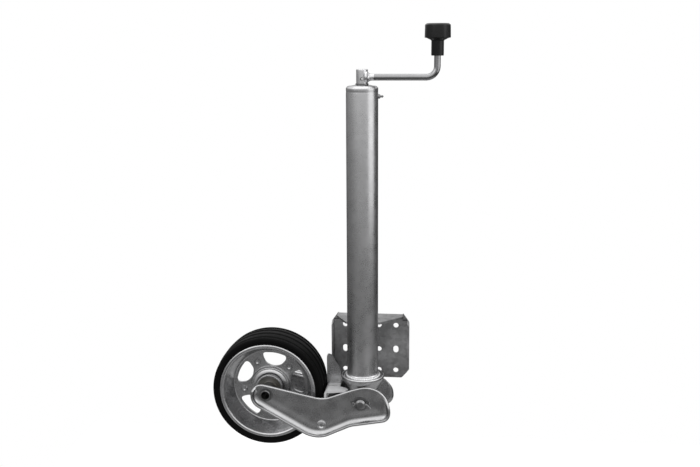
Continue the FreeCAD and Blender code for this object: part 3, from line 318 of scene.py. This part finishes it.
# %% [markdown]
# Zinc is never one grey. It has soft clouds from the bath, a spangle of crystals, fine grain that
# blurs the reflections, and dull patches where it has been handled. The colour is mixed from the
# clouds and the crystals, and the roughness from the grain and the patches, so that both vary but
# never together. The tube and the plate are galvanised, and the smaller parts are zinc-plated, which
# leaves a finer and smoother coat.
#
# Two pieces have a colour of their own within the same slot. The boss of the crank is lighter than its
# arm. The deck between the cam and the fork is dull and nearly white: that colour is a painted highlight
# of the light from above falling on its upward face.

# %% Zinc
EDGE = 0.4
METAL = 0.9
IRON_METAL = 0.7
DULL_METAL = 0.2
CRYSTAL_SCALE = 160
PATCH_SCALE = 35


def zinc(name, dark, light, roughness, cloud, crystals, grain, depth, stretch=(1, 1, 1)):
    """Zinc on steel: clouds, crystals and grain between a dark and a light grey."""
    material, tree, shader = new_finish(name)
    clouds = spread(tree, place_noise(tree, cloud, 4, stretch, 0.3), 0, 1)
    spangle = place_cells(tree, CRYSTAL_SCALE)
    part = combine(tree, "MULTIPLY", spangle, crystals)
    rest = combine(tree, "MULTIPLY", clouds, 1 - crystals)
    shade = combine(tree, "ADD", part, rest)
    colour = tint(tree, shade, (dark, dark, dark * 1.01), (light, light, light * 1.015))
    tree.links.new(colour, shader.inputs["Base Color"])
    fine = place_noise(tree, grain, 2)
    patches = spread(tree, place_noise(tree, PATCH_SCALE, 3), -0.06, 0.06)
    dull = combine(tree, "ADD", spread(tree, fine, -0.05, 0.05), patches)
    tree.links.new(combine(tree, "ADD", dull, roughness), shader.inputs["Roughness"])
    shader.inputs["Metallic"].default_value = METAL
    shader.inputs["Specular Tint"].default_value = (EDGE, EDGE, EDGE, 1)
    relief(tree, shader, fine, 0.35, depth)
    return material


finishes = {
    "galvanised_tube": zinc("galvanised_tube", 0.45, 0.62, 0.3, 9, 0.2, 700, 0.00005, (1, 1, 0.35)),
    "galvanised_plate": zinc("galvanised_plate", 0.2, 0.5, 0.4, 22, 0.35, 600, 0.0001),
    "zinc_plated_fork": zinc("zinc_plated_fork", 0.36, 0.46, 0.26, 16, 0.12, 1300, 0.00004),
    "zinc_plated_pins": zinc("zinc_plated_pins", 0.17, 0.28, 0.3, 40, 0.1, 1500, 0.00002),
    "zinc_plated_crank": zinc("zinc_plated_crank", 0.24, 0.33, 0.16, 30, 0.1, 1200, 0.00003, (0.3, 1, 1)),
    "rim_zinc": zinc("rim_zinc", 0.42, 0.55, 0.26, 20, 0.15, 1200, 0.00004),
}
own_finish_and_highlight = {
    "crank_boss": zinc("boss_zinc", 0.5, 0.7, 0.3, 30, 0.1, 1200, 0.00003),
    # The deck's near-white, dull colour is a painted highlight of light from above on its upward face.
    "cam_bridge": zinc("deck_painted_highlight", 0.8, 0.95, 0.45, 16, 0.1, 1300, 0.00004),
}
shader_of(own_finish_and_highlight["cam_bridge"]).inputs["Metallic"].default_value = DULL_METAL
print("zinc finishes:", len(finishes) + len(own_finish_and_highlight))

# %% [markdown]
# Steel that slides or turns is bright, with a film of grease that lies thicker in some places. One
# noise makes both the colour and the roughness of the film, because thick grease is darker and also
# duller. The nut is turned cast iron, dark and grainy.

# %% Greased steel and iron
def greased_steel(name):
    """Drawn steel with fine marks along its length and a patchy film of grease."""
    material, tree, shader = new_finish(name)
    marks = place_noise(tree, 900, 2, (1, 1, 0.02))
    film = spread(tree, place_noise(tree, 28, 4), 0, 1)
    colour = tint(tree, film, (0.42, 0.42, 0.43), (0.2, 0.185, 0.15))
    tree.links.new(colour, shader.inputs["Base Color"])
    tree.links.new(spread(tree, film, 0.22, 0.42, (0, 1)), shader.inputs["Roughness"])
    shader.inputs["Metallic"].default_value = METAL
    relief(tree, shader, marks, 0.3, 0.00003)
    return material


def iron(name):
    """Turned cast iron: dark, with open grain."""
    material, tree, shader = new_finish(name)
    grain = place_noise(tree, 1500, 3)
    colour = tint(tree, spread(tree, grain, 0, 1), (0.07, 0.07, 0.072), (0.16, 0.16, 0.165))
    tree.links.new(colour, shader.inputs["Base Color"])
    tree.links.new(spread(tree, grain, 0.45, 0.65), shader.inputs["Roughness"])
    shader.inputs["Metallic"].default_value = IRON_METAL
    relief(tree, shader, grain, 0.4, 0.0001)
    return material


finishes["bright_steel"] = greased_steel("bright_steel")
finishes["cast_nut"] = iron("cast_nut")
print("metals:", len(finishes))

# %% [markdown]
# The knob and the slide ring are moulded plastic, and the tyre is solid rubber, nearly black. Both
# take the grain of their mould, which is finer than the eye can part, so it is a bump and not a
# shape. Black needs little light thrown back, so the gloss is turned down on the shader itself.

# %% Plastic and rubber
KNOB_GLOSS = 0.3
TYRE_GLOSS = 0.07


def moulded(name, dark, light, roughness, grain, depth):
    """Moulded plastic or rubber with the grain of its mould."""
    material, tree, shader = new_finish(name)
    fine = place_noise(tree, grain, 2)
    broad = place_noise(tree, 30, 3)
    shade = combine(tree, "MULTIPLY", spread(tree, fine, 0.4, 1), spread(tree, broad, 0.5, 1))
    colour = tint(tree, shade, (dark, dark, dark), (light, light, light * 1.03))
    tree.links.new(colour, shader.inputs["Base Color"])
    dull = combine(tree, "ADD", spread(tree, fine, -0.06, 0.06), spread(tree, broad, -0.05, 0.05))
    tree.links.new(combine(tree, "ADD", dull, roughness), shader.inputs["Roughness"])
    relief(tree, shader, fine, 0.4, depth)
    return material


finishes["slide_plastic"] = moulded("slide_plastic", 0.05, 0.09, 0.5, 1200, 0.00005)
finishes["knob_plastic"] = moulded("knob_plastic", 0.004, 0.009, 0.35, 1400, 0.00008)
finishes["tyre_rubber"] = moulded("tyre_rubber", 0.0015, 0.004, 0.62, 700, 0.00012)
shader_of(finishes["knob_plastic"]).inputs["Specular IOR Level"].default_value = KNOB_GLOSS
shader_of(finishes["tyre_rubber"]).inputs["Specular IOR Level"].default_value = TYRE_GLOSS
print("finishes:", sorted(finishes))

# %% [markdown]
# The drawings give sizes in millimetres from the tube's axis, with zero height at the rim of the
# guide collar. These tools turn such sizes into places in metres, round the corners of a half
# section, turn it into a ring, and hand the finished mesh over in the place of its plain solid.
# A Bevel modifier could round the corners too, but a turned piece is rounded better in its section,
# where each corner has a radius of its own.

# %% Tools for shapes
JACK_ORIGIN = Vector((-10, -66.5, -35))
SHARP = math.radians(32)
SAME_PLACE = 0.000001
slot_of = {part["node"]: part["material_slot"] for part in frame["record"]["subparts"]}
body_of = {}
for body, members in frame["record"]["behaviour"]["bodies"].items():
    for member in members:
        body_of[member] = body


def spot(x, y, z):
    """A place in metres from millimetres about the tube's axis."""
    return (Vector((x, y, z)) + JACK_ORIGIN) * MM


def upright(u, w):
    """A point of a half section that turns about the tube's axis."""
    return spot(u, 0, w)


def rounded(corners, pieces=5):
    """Points of an outline whose corners (u, w, radius) are rounded."""
    points = []
    for i, corner in enumerate(corners):
        here = Vector(corner[:2])
        radius = corner[2] if len(corner) > 2 else 0
        if not radius:
            points.append(here)
            continue
        back = (Vector(corners[i - 1][:2]) - here).normalized()
        on = (Vector(corners[(i + 1) % len(corners)][:2]) - here).normalized()
        half = back.angle(on) / 2
        centre = here + (back + on).normalized() * (radius / math.sin(half))
        start = here + back * (radius / math.tan(half)) - centre
        turn = start.angle_signed(here + on * (radius / math.tan(half)) - centre)
        for k in range(pieces + 1):
            spun = Matrix.Rotation(-turn * k / pieces, 2) @ start
            points.append(centre + spun)
    return points


def ring_of(points, place, centre, axis, steps):
    """Closed ring turned from the points of a half section."""
    shape = bmesh.new()
    corners = [shape.verts.new(place(u, w)) for u, w in points]
    edges = [shape.edges.new((corners[i - 1], corners[i])) for i in range(len(corners))]
    bmesh.ops.spin(shape, geom=corners + edges, cent=centre, axis=axis, dvec=(0, 0, 0), angle=math.tau,
                   steps=steps, use_merge=True, use_duplicate=False)
    bmesh.ops.remove_doubles(shape, verts=shape.verts, dist=SAME_PLACE)
    return shape


def hand_over(name, shape, replaced):
    """Turns a mesh's faces outward, smooths it up to its sharp edges and puts it in the place of plain
    solids.
    """
    bmesh.ops.recalc_face_normals(shape, faces=shape.faces)
    for face in shape.faces:
        face.smooth = True
    for edge in shape.edges:
        edge.smooth = not (len(edge.link_faces) == 2 and edge.calc_face_angle(0) > SHARP)
    mesh = bpy.data.meshes.new(name)
    shape.to_mesh(mesh)
    shape.free()
    slot = slot_of[replaced[0]]
    mesh.materials.append(own_finish_and_highlight.get(replaced[0], finishes[slot]))
    piece = bpy.data.objects.new(name, mesh)
    bpy.context.scene.collection.objects.link(piece)
    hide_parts(*replaced)
    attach(piece, body_of[replaced[0]])
    print(name, "has", len(mesh.polygons), "faces")
    return piece


made = []
print("one millimetre above the collar's rim is at", tuple(round(v, 4) for v in spot(0, 0, 1)))

# %% [markdown]
# The tube is a plain length of galvanised tube. Its top edge is swaged inwards over the cap, and a
# swaged edge is never sharp: it rolls over in a curve. The tool also leaves a faint waist below it.
# A cylinder with a bevel would have no waist, so the wall's section is drawn and spun instead.

# %% Outer tube
TUBE_R = 30
TUBE_BORE_R = 27
TUBE_FOOT_Z = -8
TUBE_TOP_Z = 560
WAIST = 0.35
TURN_STEPS = 160

tube = ring_of(rounded([
    (TUBE_BORE_R, TUBE_FOOT_Z, 0.6),
    (TUBE_R, TUBE_FOOT_Z, 0.8),
    (TUBE_R, 545),
    (TUBE_R - WAIST, 549, 4),
    (TUBE_R, 553, 3),
    (TUBE_R - 0.1, 556.4, 2.8),
    (26.2, TUBE_TOP_Z, 1),
    (24.2, 558.2, 0.8),
    (TUBE_BORE_R, 555),
]), upright, spot(0, 0, 0), (0, 0, 1), TURN_STEPS)
made.append(hand_over("outer_tube_swaged", tube, ["outer_tube"]))

# %% [markdown]
# The guide collar is a turned dish, whose upright lip keeps a soft round edge all the way. It is spun
# from its section, as the tube is, with a radius of its own on each corner.

# %% Guide collar
COLLAR_R = 42
COLLAR_LIP = 4

collar = ring_of(rounded([
    (25.05, -28, 0.5),
    (28, -28, 1.5),
    (COLLAR_R, -4, 1.5),
    (COLLAR_R, 0.8, 1.9),
    (COLLAR_R - COLLAR_LIP, 0.8, 1.9),
    (COLLAR_R - COLLAR_LIP, -2.5, 1.6),
    (35, -2.5, 1),
    (30.02, 4.2),
    (30.02, -8.02),
    (25.05, -8.02),
]), upright, spot(0, 0, 0), (0, 0, 1), TURN_STEPS)
made.append(hand_over("guide_collar_dish", collar, ["guide_collar"]))

# %% [markdown]
# A weld joins the collar to the tube. It is laid in short overlapping steps, and each step leaves a
# ripple. Spun rings are even all round, so this one is built row by row, and each row swells a little.

# %% Collar weld
WELD_FOOT_Z = -2.6
WELD_LEG = 5
WELD_ROOT_R = TUBE_R - 0.3
WELD_STEPS = 336
WELD_ARC = 6
WELD_FULLNESS = 0.8
RIPPLES = 56
RIPPLE = 0.1
UNEVEN = ((0.05, 5, 1), (0.03, 11, 0))

weld = bmesh.new()
rows = []
for k in range(WELD_STEPS):
    angle = math.tau * k / WELD_STEPS
    uneven = sum(size * math.sin(waves * angle + shift) for size, waves, shift in UNEVEN)
    leg = WELD_LEG * (1 + RIPPLE * abs(math.sin(RIPPLES * angle / 2)) + uneven)
    section = []
    for j in range(WELD_ARC + 1):
        turn = math.pi / 2 * j / WELD_ARC
        out = leg * math.sin(turn) ** WELD_FULLNESS
        up = leg * math.cos(turn) ** WELD_FULLNESS
        section.append((WELD_ROOT_R + out, WELD_FOOT_Z + up))
    section.append((WELD_ROOT_R, WELD_FOOT_Z))
    rows.append([weld.verts.new(spot(u * math.cos(angle), u * math.sin(angle), w)) for u, w in section])
for k in range(WELD_STEPS):
    first, second = rows[k - 1], rows[k]
    for j in range(len(first)):
        weld.faces.new((first[j - 1], first[j], second[j], second[j - 1]))
made.append(hand_over("collar_weld", weld, ["guide_collar"]))

# %% [markdown]
# The knob is moulded with eight flats. An octagonal prism cut with a cone would keep hard edges, so
# each of its rings is the smaller of a circle and an octagon, blended where they meet, and the flats
# fade out into the round neck as they do in a mould.

# %% Knob
KNOB_X = 137.9
KNOB_TURN = math.radians(-12.6)
SIDES = 8
KNOB_APOTHEM = 23.2
FLAT_BLEND = 1.6
NECK_R = 12
KNOB_STEPS = 160


def blended(first, second, width):
    """The smaller of two sizes, with a soft change between them."""
    gap = max(width - abs(first - second), 0) / width
    return min(first, second) - gap * gap * width / 4


def knob_ring(shape, radius, z):
    """One ring of the knob, round or flat-sided as its radius allows."""
    ring = []
    for k in range(KNOB_STEPS):
        angle = math.tau * k / KNOB_STEPS
        off = (angle - KNOB_TURN) % (math.tau / SIDES) - math.pi / SIDES
        flat = KNOB_APOTHEM / math.cos(off)
        reach = blended(radius, flat, FLAT_BLEND) if radius > NECK_R else radius
        ring.append(shape.verts.new(spot(KNOB_X + reach * math.cos(angle), reach * math.sin(angle), z)))
    return ring


knob_profile = rounded([
    (6.05, 614.3),
    (11.5, 614.3, 1.2),
    (11.5, 641.5, 2.5),
    (19.4, 645.5, 1.8),
    (24.6, 646.5, 1.0),
    (23.6, 669.4, 3.0),
    (19.5, 672, 3.0),
    (3, 672.0),
    (3, 659),
    (9.5, 659),
    (9.5, 647),
    (6.05, 647),
])
knob = bmesh.new()
rings = [knob_ring(knob, u, w) for u, w in knob_profile]
for i in range(len(rings)):
    first, second = rings[i - 1], rings[i]
    for k in range(len(first)):
        knob.faces.new((first[k - 1], first[k], second[k], second[k - 1]))
made.append(hand_over("knob_moulded", knob, ["crank_knob"]))

# %% [markdown]
# The tyre is one ring of rubber. Four broad shallow grooves leave ribs round its tread, and a fine
# ring stands on each side, where the parts of the mould met. All of it runs round the axle, so one
# section is drawn, with its two sides alike, and spun.

# %% Tyre
AXLE_X = -183.4
AXLE_Z = -28.7
TYRE_R = 110.2
TYRE_HALF = 40
GROOVES = (-29, -10, 10, 29)
GROOVE_HALF = 5
GROOVE_FLANK = 2
GROOVE_DEPTH = 2
CROWN_FALL = 3
TYRE_STEPS = 224


def from_axle(u, w):
    """A point of a half section that turns about the wheel's axle."""
    return spot(AXLE_X + u, w, AXLE_Z)


tyre_side = [
    (83, 5, 3),
    (92, 26.5, 16),
    (95.6, 32.5),
    (95.6, 38),
    (99.5, TYRE_HALF - 1.2, 2),
    (101.6, TYRE_HALF - 1.0, 0.5),
    (102.4, TYRE_HALF - 0.4, 0.4),
    (103.2, TYRE_HALF - 0.9, 0.5),
    (TYRE_R - CROWN_FALL, TYRE_HALF, 4.5),
]
section = [(corner[0], -corner[1], *corner[2:]) for corner in tyre_side]
for y in GROOVES:
    crown = TYRE_R - CROWN_FALL * (y / TYRE_HALF) ** 2
    section += [
        (crown, y - GROOVE_HALF, 0.9),
        (crown - GROOVE_DEPTH, y - GROOVE_HALF + GROOVE_FLANK, 1.5),
        (crown - GROOVE_DEPTH, y + GROOVE_HALF - GROOVE_FLANK, 1.5),
        (crown, y + GROOVE_HALF, 0.9),
    ]
section += tyre_side[::-1]
tyre = ring_of(rounded(section, 3), from_axle, spot(AXLE_X, 0, AXLE_Z), (0, 1, 0), TYRE_STEPS)
made.append(hand_over("tyre_moulded", tyre, ["tyre"]))

# %% [markdown]
# Round the hub, each half of the rim is rolled into a bead that catches the light. Its outer side
# slopes gently, like a shallow cone, so that it mirrors the bright ceiling in a broad crescent. The
# bead is a ring of its own, laid over the disc of the rim, which stays as it is.

# %% Hub beads
BEAD_STEPS = 120
HUB_BEAD = (
    (27.4, 2),
    (27.4, 7),
    (28, 8.6),
    (29.5, 9.3),
    (32, 8.7),
    (35, 7.2),
    (38, 5.5),
    (39.6, 4),
    (40.2, 1.5),
)

for side, name, node in ((-1, "hub_bead_front", "rim_half_front"), (1, "hub_bead_rear", "rim_half_rear")):
    arc = [(radius, side * height) for radius, height in HUB_BEAD]
    bead = ring_of(arc, from_axle, spot(AXLE_X, 0, AXLE_Z), (0, 1, 0), BEAD_STEPS)
    made.append(hand_over(name, bead, [node]))

# %% [markdown]
# The two fork plates are pressed from sheet, and are the most shaped pieces of the jack. An extruded
# outline with a Solidify modifier would stay one flat sheet, so each plate is built in two steps: its
# rim as rows of points across the sheet, and then both faces of its web between the rim and the holes.
#
# Both plates share one outline, whose corners carry their radii. Its points are spaced evenly, so
# that the faces of the rim come out alike.

# %% Fork outline
PIVOT_Z = -44.5
FORK_HOLES = ((AXLE_X, AXLE_Z, 10.02), (0, PIVOT_Z, 10.02), (-75, -86, 6.02))
FORK_CORNERS = (
    (-211.6, -4.2, 19),
    (-74, -34.2, 60),
    (57.7, 3.0, 47.5),
    (57.7, -76.0, 18),
    (-20, -89.8, 60),
    (-86.2, -115.1, 58),
    (-211.6, -44.8, 27),
)
CORNER_PIECES = 16
OUTLINE_STEP = 1.7


def evenly(points, step):
    """Points at even steps along a closed outline."""
    spaced = []
    left = 0
    for i, end in enumerate(points):
        start = points[i - 1]
        length = (end - start).length
        while left < length:
            spaced.append(start.lerp(end, left / length))
            left += step
        left -= length
    return spaced


fork_outline = evenly(rounded(FORK_CORNERS, CORNER_PIECES), OUTLINE_STEP)
print("points round a fork plate:", len(fork_outline))

# %% [markdown]
# The web is joggled: it steps in from the wide end round the tyre to the narrow end at the pivot.
# Pressed steel doesn't bend in a sharp crease. So the step is averaged over a few places side by side,
# which rounds both of its bends, and costs less than a fillet made of faces.

# %% Joggle
FORK_WIDE = (-62, 50)
FORK_NARROW = (-15, 38)
JOGGLE_SLANT = 0.06
JOGGLE_BLUR = (-6, -3, 0, 3, 6)


def web_place(x, z):
    """How far the inner face of the web stands from the middle of the fork."""
    lean = x - JOGGLE_SLANT * (z - PIVOT_Z)
    span = FORK_NARROW[0] - FORK_WIDE[0]
    shares = [min(max((lean + shift - FORK_WIDE[0]) / span, 0), 1) for shift in JOGGLE_BLUR]
    return FORK_WIDE[1] + (FORK_NARROW[1] - FORK_WIDE[1]) * sum(shares) / len(shares)


print("room inside the fork:", 2 * web_place(AXLE_X, AXLE_Z), "mm and", 2 * web_place(0, PIVOT_Z), "mm")

# %% [markdown]
# The rim is turned outwards in a flange, and the flange isn't the same all round. The front plate has
# none along its top, and the rear plate has none over its heel. Where it ends, the tool lets it run
# out softly, so a share between 0 and 1 says how much of a flange stands at each place.

# %% Where the flanges are
HEEL_X = 20
NOSE_X = -190
FLANGE_TOP_Z = -39
NOSE_FLANGE_TOP_Z = -16
RUN_OUT = (-4, 4)
HEEL_RUN_OUT = (-12, 14)
REAR_HEEL_RUN_OUT = (-9, -1)
REAR_NOSE_RUN_OUT = (-165, -150)


def eased(value, low, high):
    """0 below a low value, 1 above a high one, and a soft change between them."""
    share = min(max((value - low) / (high - low), 0), 1)
    return share * share * (3 - 2 * share)


def front_flange(x, z):
    """1 where the front plate is flanged and 0 along its top."""
    if x > HEEL_X:
        return eased(FLANGE_TOP_Z - z, *HEEL_RUN_OUT)
    return eased((NOSE_FLANGE_TOP_Z if x < NOSE_X else FLANGE_TOP_Z) - z, *RUN_OUT)


def rear_flange(x, z):
    """1 where the rear plate is flanged and 0 over its heel."""
    return max(front_flange(x, z), eased(-x, *REAR_HEEL_RUN_OUT) * eased(x, *REAR_NOSE_RUN_OUT))


for name, flange in (("front", front_flange), ("rear", rear_flange)):
    share = sum(flange(*point) for point in fork_outline) / len(fork_outline)
    print(name, "plate flanged along", round(share, 2), "of its outline")

# %% [markdown]
# A section across the rim goes from the inner face round the edge to the outer face. With a flange it
# has a wide bend, as thin steel takes over a soft tool. Without one it is a cut edge, rounded on the
# outside only, and it is that little round that shows as a bright line along the top. Each size below
# is a pair, for the cut edge and for the flanged one.

# %% Section of the rim
FORK_T = 4
FORK_FLANGE = 10
FORK_RIM = 13.5
RIM_WIDTH = (4.6, FORK_RIM)
BACK_BEND = (0.6, 8.6)
OUTER_EDGE = (2.2, 1.2)
FLANGE_EDGE = (0.02, 1.22)
FRONT_BEND = (0.05, 9.05)
QUARTER = [math.pi / 2 * k / 5 for k in range(6)]


def grown(share, cut, flanged):
    """A size between that of a cut edge and that of a flanged one."""
    return cut + (flanged - cut) * share


def rim_width(share):
    """How far in from the outline the rim reaches."""
    return grown(share, *RIM_WIDTH)


def rim_section(share):
    """Points across the rim: distance in from the outline, and height above the inner face."""
    top = FORK_T + FORK_FLANGE * share
    back = grown(share, *BACK_BEND)
    edge = grown(share, *OUTER_EDGE)
    lip = grown(share, *FLANGE_EDGE)
    bend = grown(share, *FRONT_BEND)
    section = [(rim_width(share), 0)]
    section += [(back - back * math.sin(a), back - back * math.cos(a)) for a in QUARTER]
    section += [(edge - edge * math.cos(a), top - edge + edge * math.sin(a)) for a in QUARTER]
    section += [(FORK_T - lip + lip * math.sin(a), top - lip + lip * math.cos(a)) for a in QUARTER]
    section += [(FORK_T + bend - bend * math.cos(a), FORK_T + bend - bend * math.sin(a)) for a in QUARTER]
    section += [(rim_width(share), FORK_T)]
    return section


print("points across the rim:", len(rim_section(1)))

# %% [markdown]
# Near the flange the web rises softly, as a pressed sheet does. A tree of the flanged points finds
# how far each place of the web is from the nearest of them.

# %% Rise and rim
FORK_LIFT = 1
FORK_SOFT = 16


def web_rise(flange):
    """A function that says how far the web is raised at a place."""
    flanged = [point for point in fork_outline if flange(*point) > 0.5]
    near = KDTree(len(flanged))
    for i, point in enumerate(flanged):
        near.insert((*point, 0), i)
    near.balance()

    def rise(x, z):
        return FORK_LIFT * (1 - eased(near.find((x, z, 0))[2], FORK_RIM, FORK_RIM + FORK_SOFT))

    return rise


def rim_rows(shape, flange, rise, point_at):
    """Rows of points across the rim, and the line along which it meets the web."""
    rows = []
    ring = []
    for i, point in enumerate(fork_outline):
        after = fork_outline[(i + 1) % len(fork_outline)]
        along = (after - fork_outline[i - 1]).normalized()
        inward = Vector((along.y, -along.x))
        share = flange(*point)
        ring.append(point + inward * rim_width(share))
        row = []
        for depth, height in rim_section(share):
            x, z = point + inward * depth
            kept = 1 if depth > FORK_T else 1 - share * min(height / FORK_T, 1)
            row.append(shape.verts.new(point_at(x, z, height + rise(x, z) * kept)))
        rows.append(row)
    for i in range(len(rows)):
        first, second = rows[i - 1], rows[i]
        for j in range(1, len(first)):
            shape.faces.new((first[j - 1], first[j], second[j], second[j - 1]))
    return rows, ring


print("the web rises by", FORK_LIFT, "mm over", FORK_SOFT, "mm")

# %% [markdown]
# The web is flat except for its joggle and its rise, but has three holes and an outline of its own.
# Filling it with one big face would leave long thin triangles that catch the light. So a grid of
# points is laid inside it, and a Delaunay triangulation joins them to the rim and the holes.

# %% Web
HOLE_STEPS = 40
GRID = 4
GRID_COLUMNS = range(-60, 16)
GRID_LINES = range(-30, 2)
GRID_GAP = 2
INSIDE_ONLY = 1
SAME_POINT = 0.001


def in_hole(place):
    """True for a place inside one of the holes of the web."""
    return any(math.hypot(place.x - x, place.y - z) < radius for x, z, radius in FORK_HOLES)


def web_triangles(ring):
    """Places and triangles between a ring and the holes, new numbers of points, and holes' numbers."""
    places = list(ring)
    edges = [(i, (i + 1) % len(ring)) for i in range(len(ring))]
    holes = []
    for x, z, radius in FORK_HOLES:
        start = len(places)
        holes.append(range(start, start + HOLE_STEPS))
        for k in range(HOLE_STEPS):
            turn = math.tau * k / HOLE_STEPS
            places.append(Vector((x + radius * math.cos(turn), z + radius * math.sin(turn))))
            edges.append((start + k, start + (k + 1) % HOLE_STEPS))
    taken = KDTree(len(places))
    for i, place in enumerate(places):
        taken.insert((*place, 0), i)
    taken.balance()
    for column in GRID_COLUMNS:
        for line in GRID_LINES:
            x, z = column * GRID, line * GRID
            if taken.find((x, z, 0))[2] > GRID_GAP:
                places.append(Vector((x, z)))
    result = delaunay_2d_cdt(places, edges, [], INSIDE_ONLY, SAME_POINT)
    flat, faces, origin = result[0], result[2], result[3]
    faces = [face for face in faces if not in_hole((flat[face[0]] + flat[face[1]] + flat[face[2]]) / 3)]
    found = {old[0]: new for new, old in enumerate(origin) if old}
    return flat, faces, found, holes


def pressed_plate(name, side, flange, replaced):
    """A fork plate: side is -1 in front of the tube and 1 behind it."""
    rise = web_rise(flange)

    def point_at(x, z, height):
        return spot(x, side * (web_place(x, z) + height), z)

    plate = bmesh.new()
    rows, ring = rim_rows(plate, flange, rise, point_at)
    flat, faces, found, holes = web_triangles(ring)
    inner = {found[i]: row[0] for i, row in enumerate(rows) if i in found}
    outer = {found[i]: row[-1] for i, row in enumerate(rows) if i in found}
    for face in faces:
        for group, base in ((inner, 0), (outer, FORK_T)):
            for new in face:
                if new not in group:
                    x, z = flat[new]
                    group[new] = plate.verts.new(point_at(x, z, base + rise(x, z)))
            plate.faces.new([group[new] for new in face])
    for hole in holes:
        for k in range(len(hole)):
            a, b = found[hole[k - 1]], found[hole[k]]
            plate.faces.new((inner[a], inner[b], outer[b], outer[a]))
    return hand_over(name, plate, replaced)


made.append(pressed_plate("fork_front_pressed", -1, front_flange, ["fork_plate_front"]))
made.append(pressed_plate("fork_rear_pressed", 1, rear_flange, ["fork_plate_rear"]))
print("modelled pieces:", [piece.name for piece in made])

# %% [markdown]
# The mounting plate is folded from sheet. Its side flanges end in a slant, and beside its top bend the
# sheet fills the corner. Both are small changes to a copy of its solid: the ends of the flanges are
# moved up or down by their distance from the face, and a small wedge is added in each top corner.

# %% Corners of the mounting plate
PLATE_X = 10
PLATE_Y = 62.5
PLATE_T = 4
PLATE_HALF = 78
PLATE_MIDDLE_Z = 40
FLANGE_REACH = 9
FOOT_SLANT = 6
TOP_SLANT = -7
WEDGE = ((64.5, 92), (75.6, 92), (65.6, 106), (64.5, 106))


def trim_plate(shape):
    """Slants the ends of the plate's side flanges, and fills the corners beside its top bend."""
    for vert in shape.verts:
        x, y, z = vert.co / MM - JACK_ORIGIN
        if abs(x - PLATE_X) > PLATE_HALF - PLATE_T - 0.1 and y < PLATE_Y:
            slant = (PLATE_Y - y) / FLANGE_REACH
            vert.co.z += (FOOT_SLANT if z < PLATE_MIDDLE_Z else TOP_SLANT) * slant * MM
    for side in (-1, 1):
        ends = [[shape.verts.new(spot(PLATE_X + side * u, y, w)) for u, w in WEDGE]
                for y in (PLATE_Y, PLATE_Y + PLATE_T)]
        shape.faces.new(ends[0])
        shape.faces.new(ends[1])
        for k in range(len(WEDGE)):
            shape.faces.new((ends[0][k - 1], ends[0][k], ends[1][k], ends[1][k - 1]))


print("the plate is", 2 * PLATE_HALF, "mm wide")

# %% [markdown]
# The other pieces keep the shapes of their solids. A solid's own mesh is left as it is, because its
# loose triangles would show as facets once they were smoothed. So each is copied, the triangles of the
# copy are joined, and it is smoothed up to its sharp edges, so that light runs over it as over one
# surface.

# %% Smoothed copies
JOIN_DISTANCE = 0.000002
MODELLED = {"outer_tube", "guide_collar", "crank_knob", "tyre", "fork_plate_front", "fork_plate_rear"}


def joined(name):
    """A copy of a solid's mesh with its triangles joined into one surface."""
    shape = bmesh.new()
    shape.from_mesh(nodes[name].data)
    bmesh.ops.remove_doubles(shape, verts=shape.verts, dist=JOIN_DISTANCE)
    return shape


for name in sorted(nodes):
    if name not in MODELLED:
        shape = joined(name)
        if name == "mounting_plate":
            trim_plate(shape)
        made.append(hand_over(name + "_finished", shape, [name]))
print("pieces handed over:", len(made))
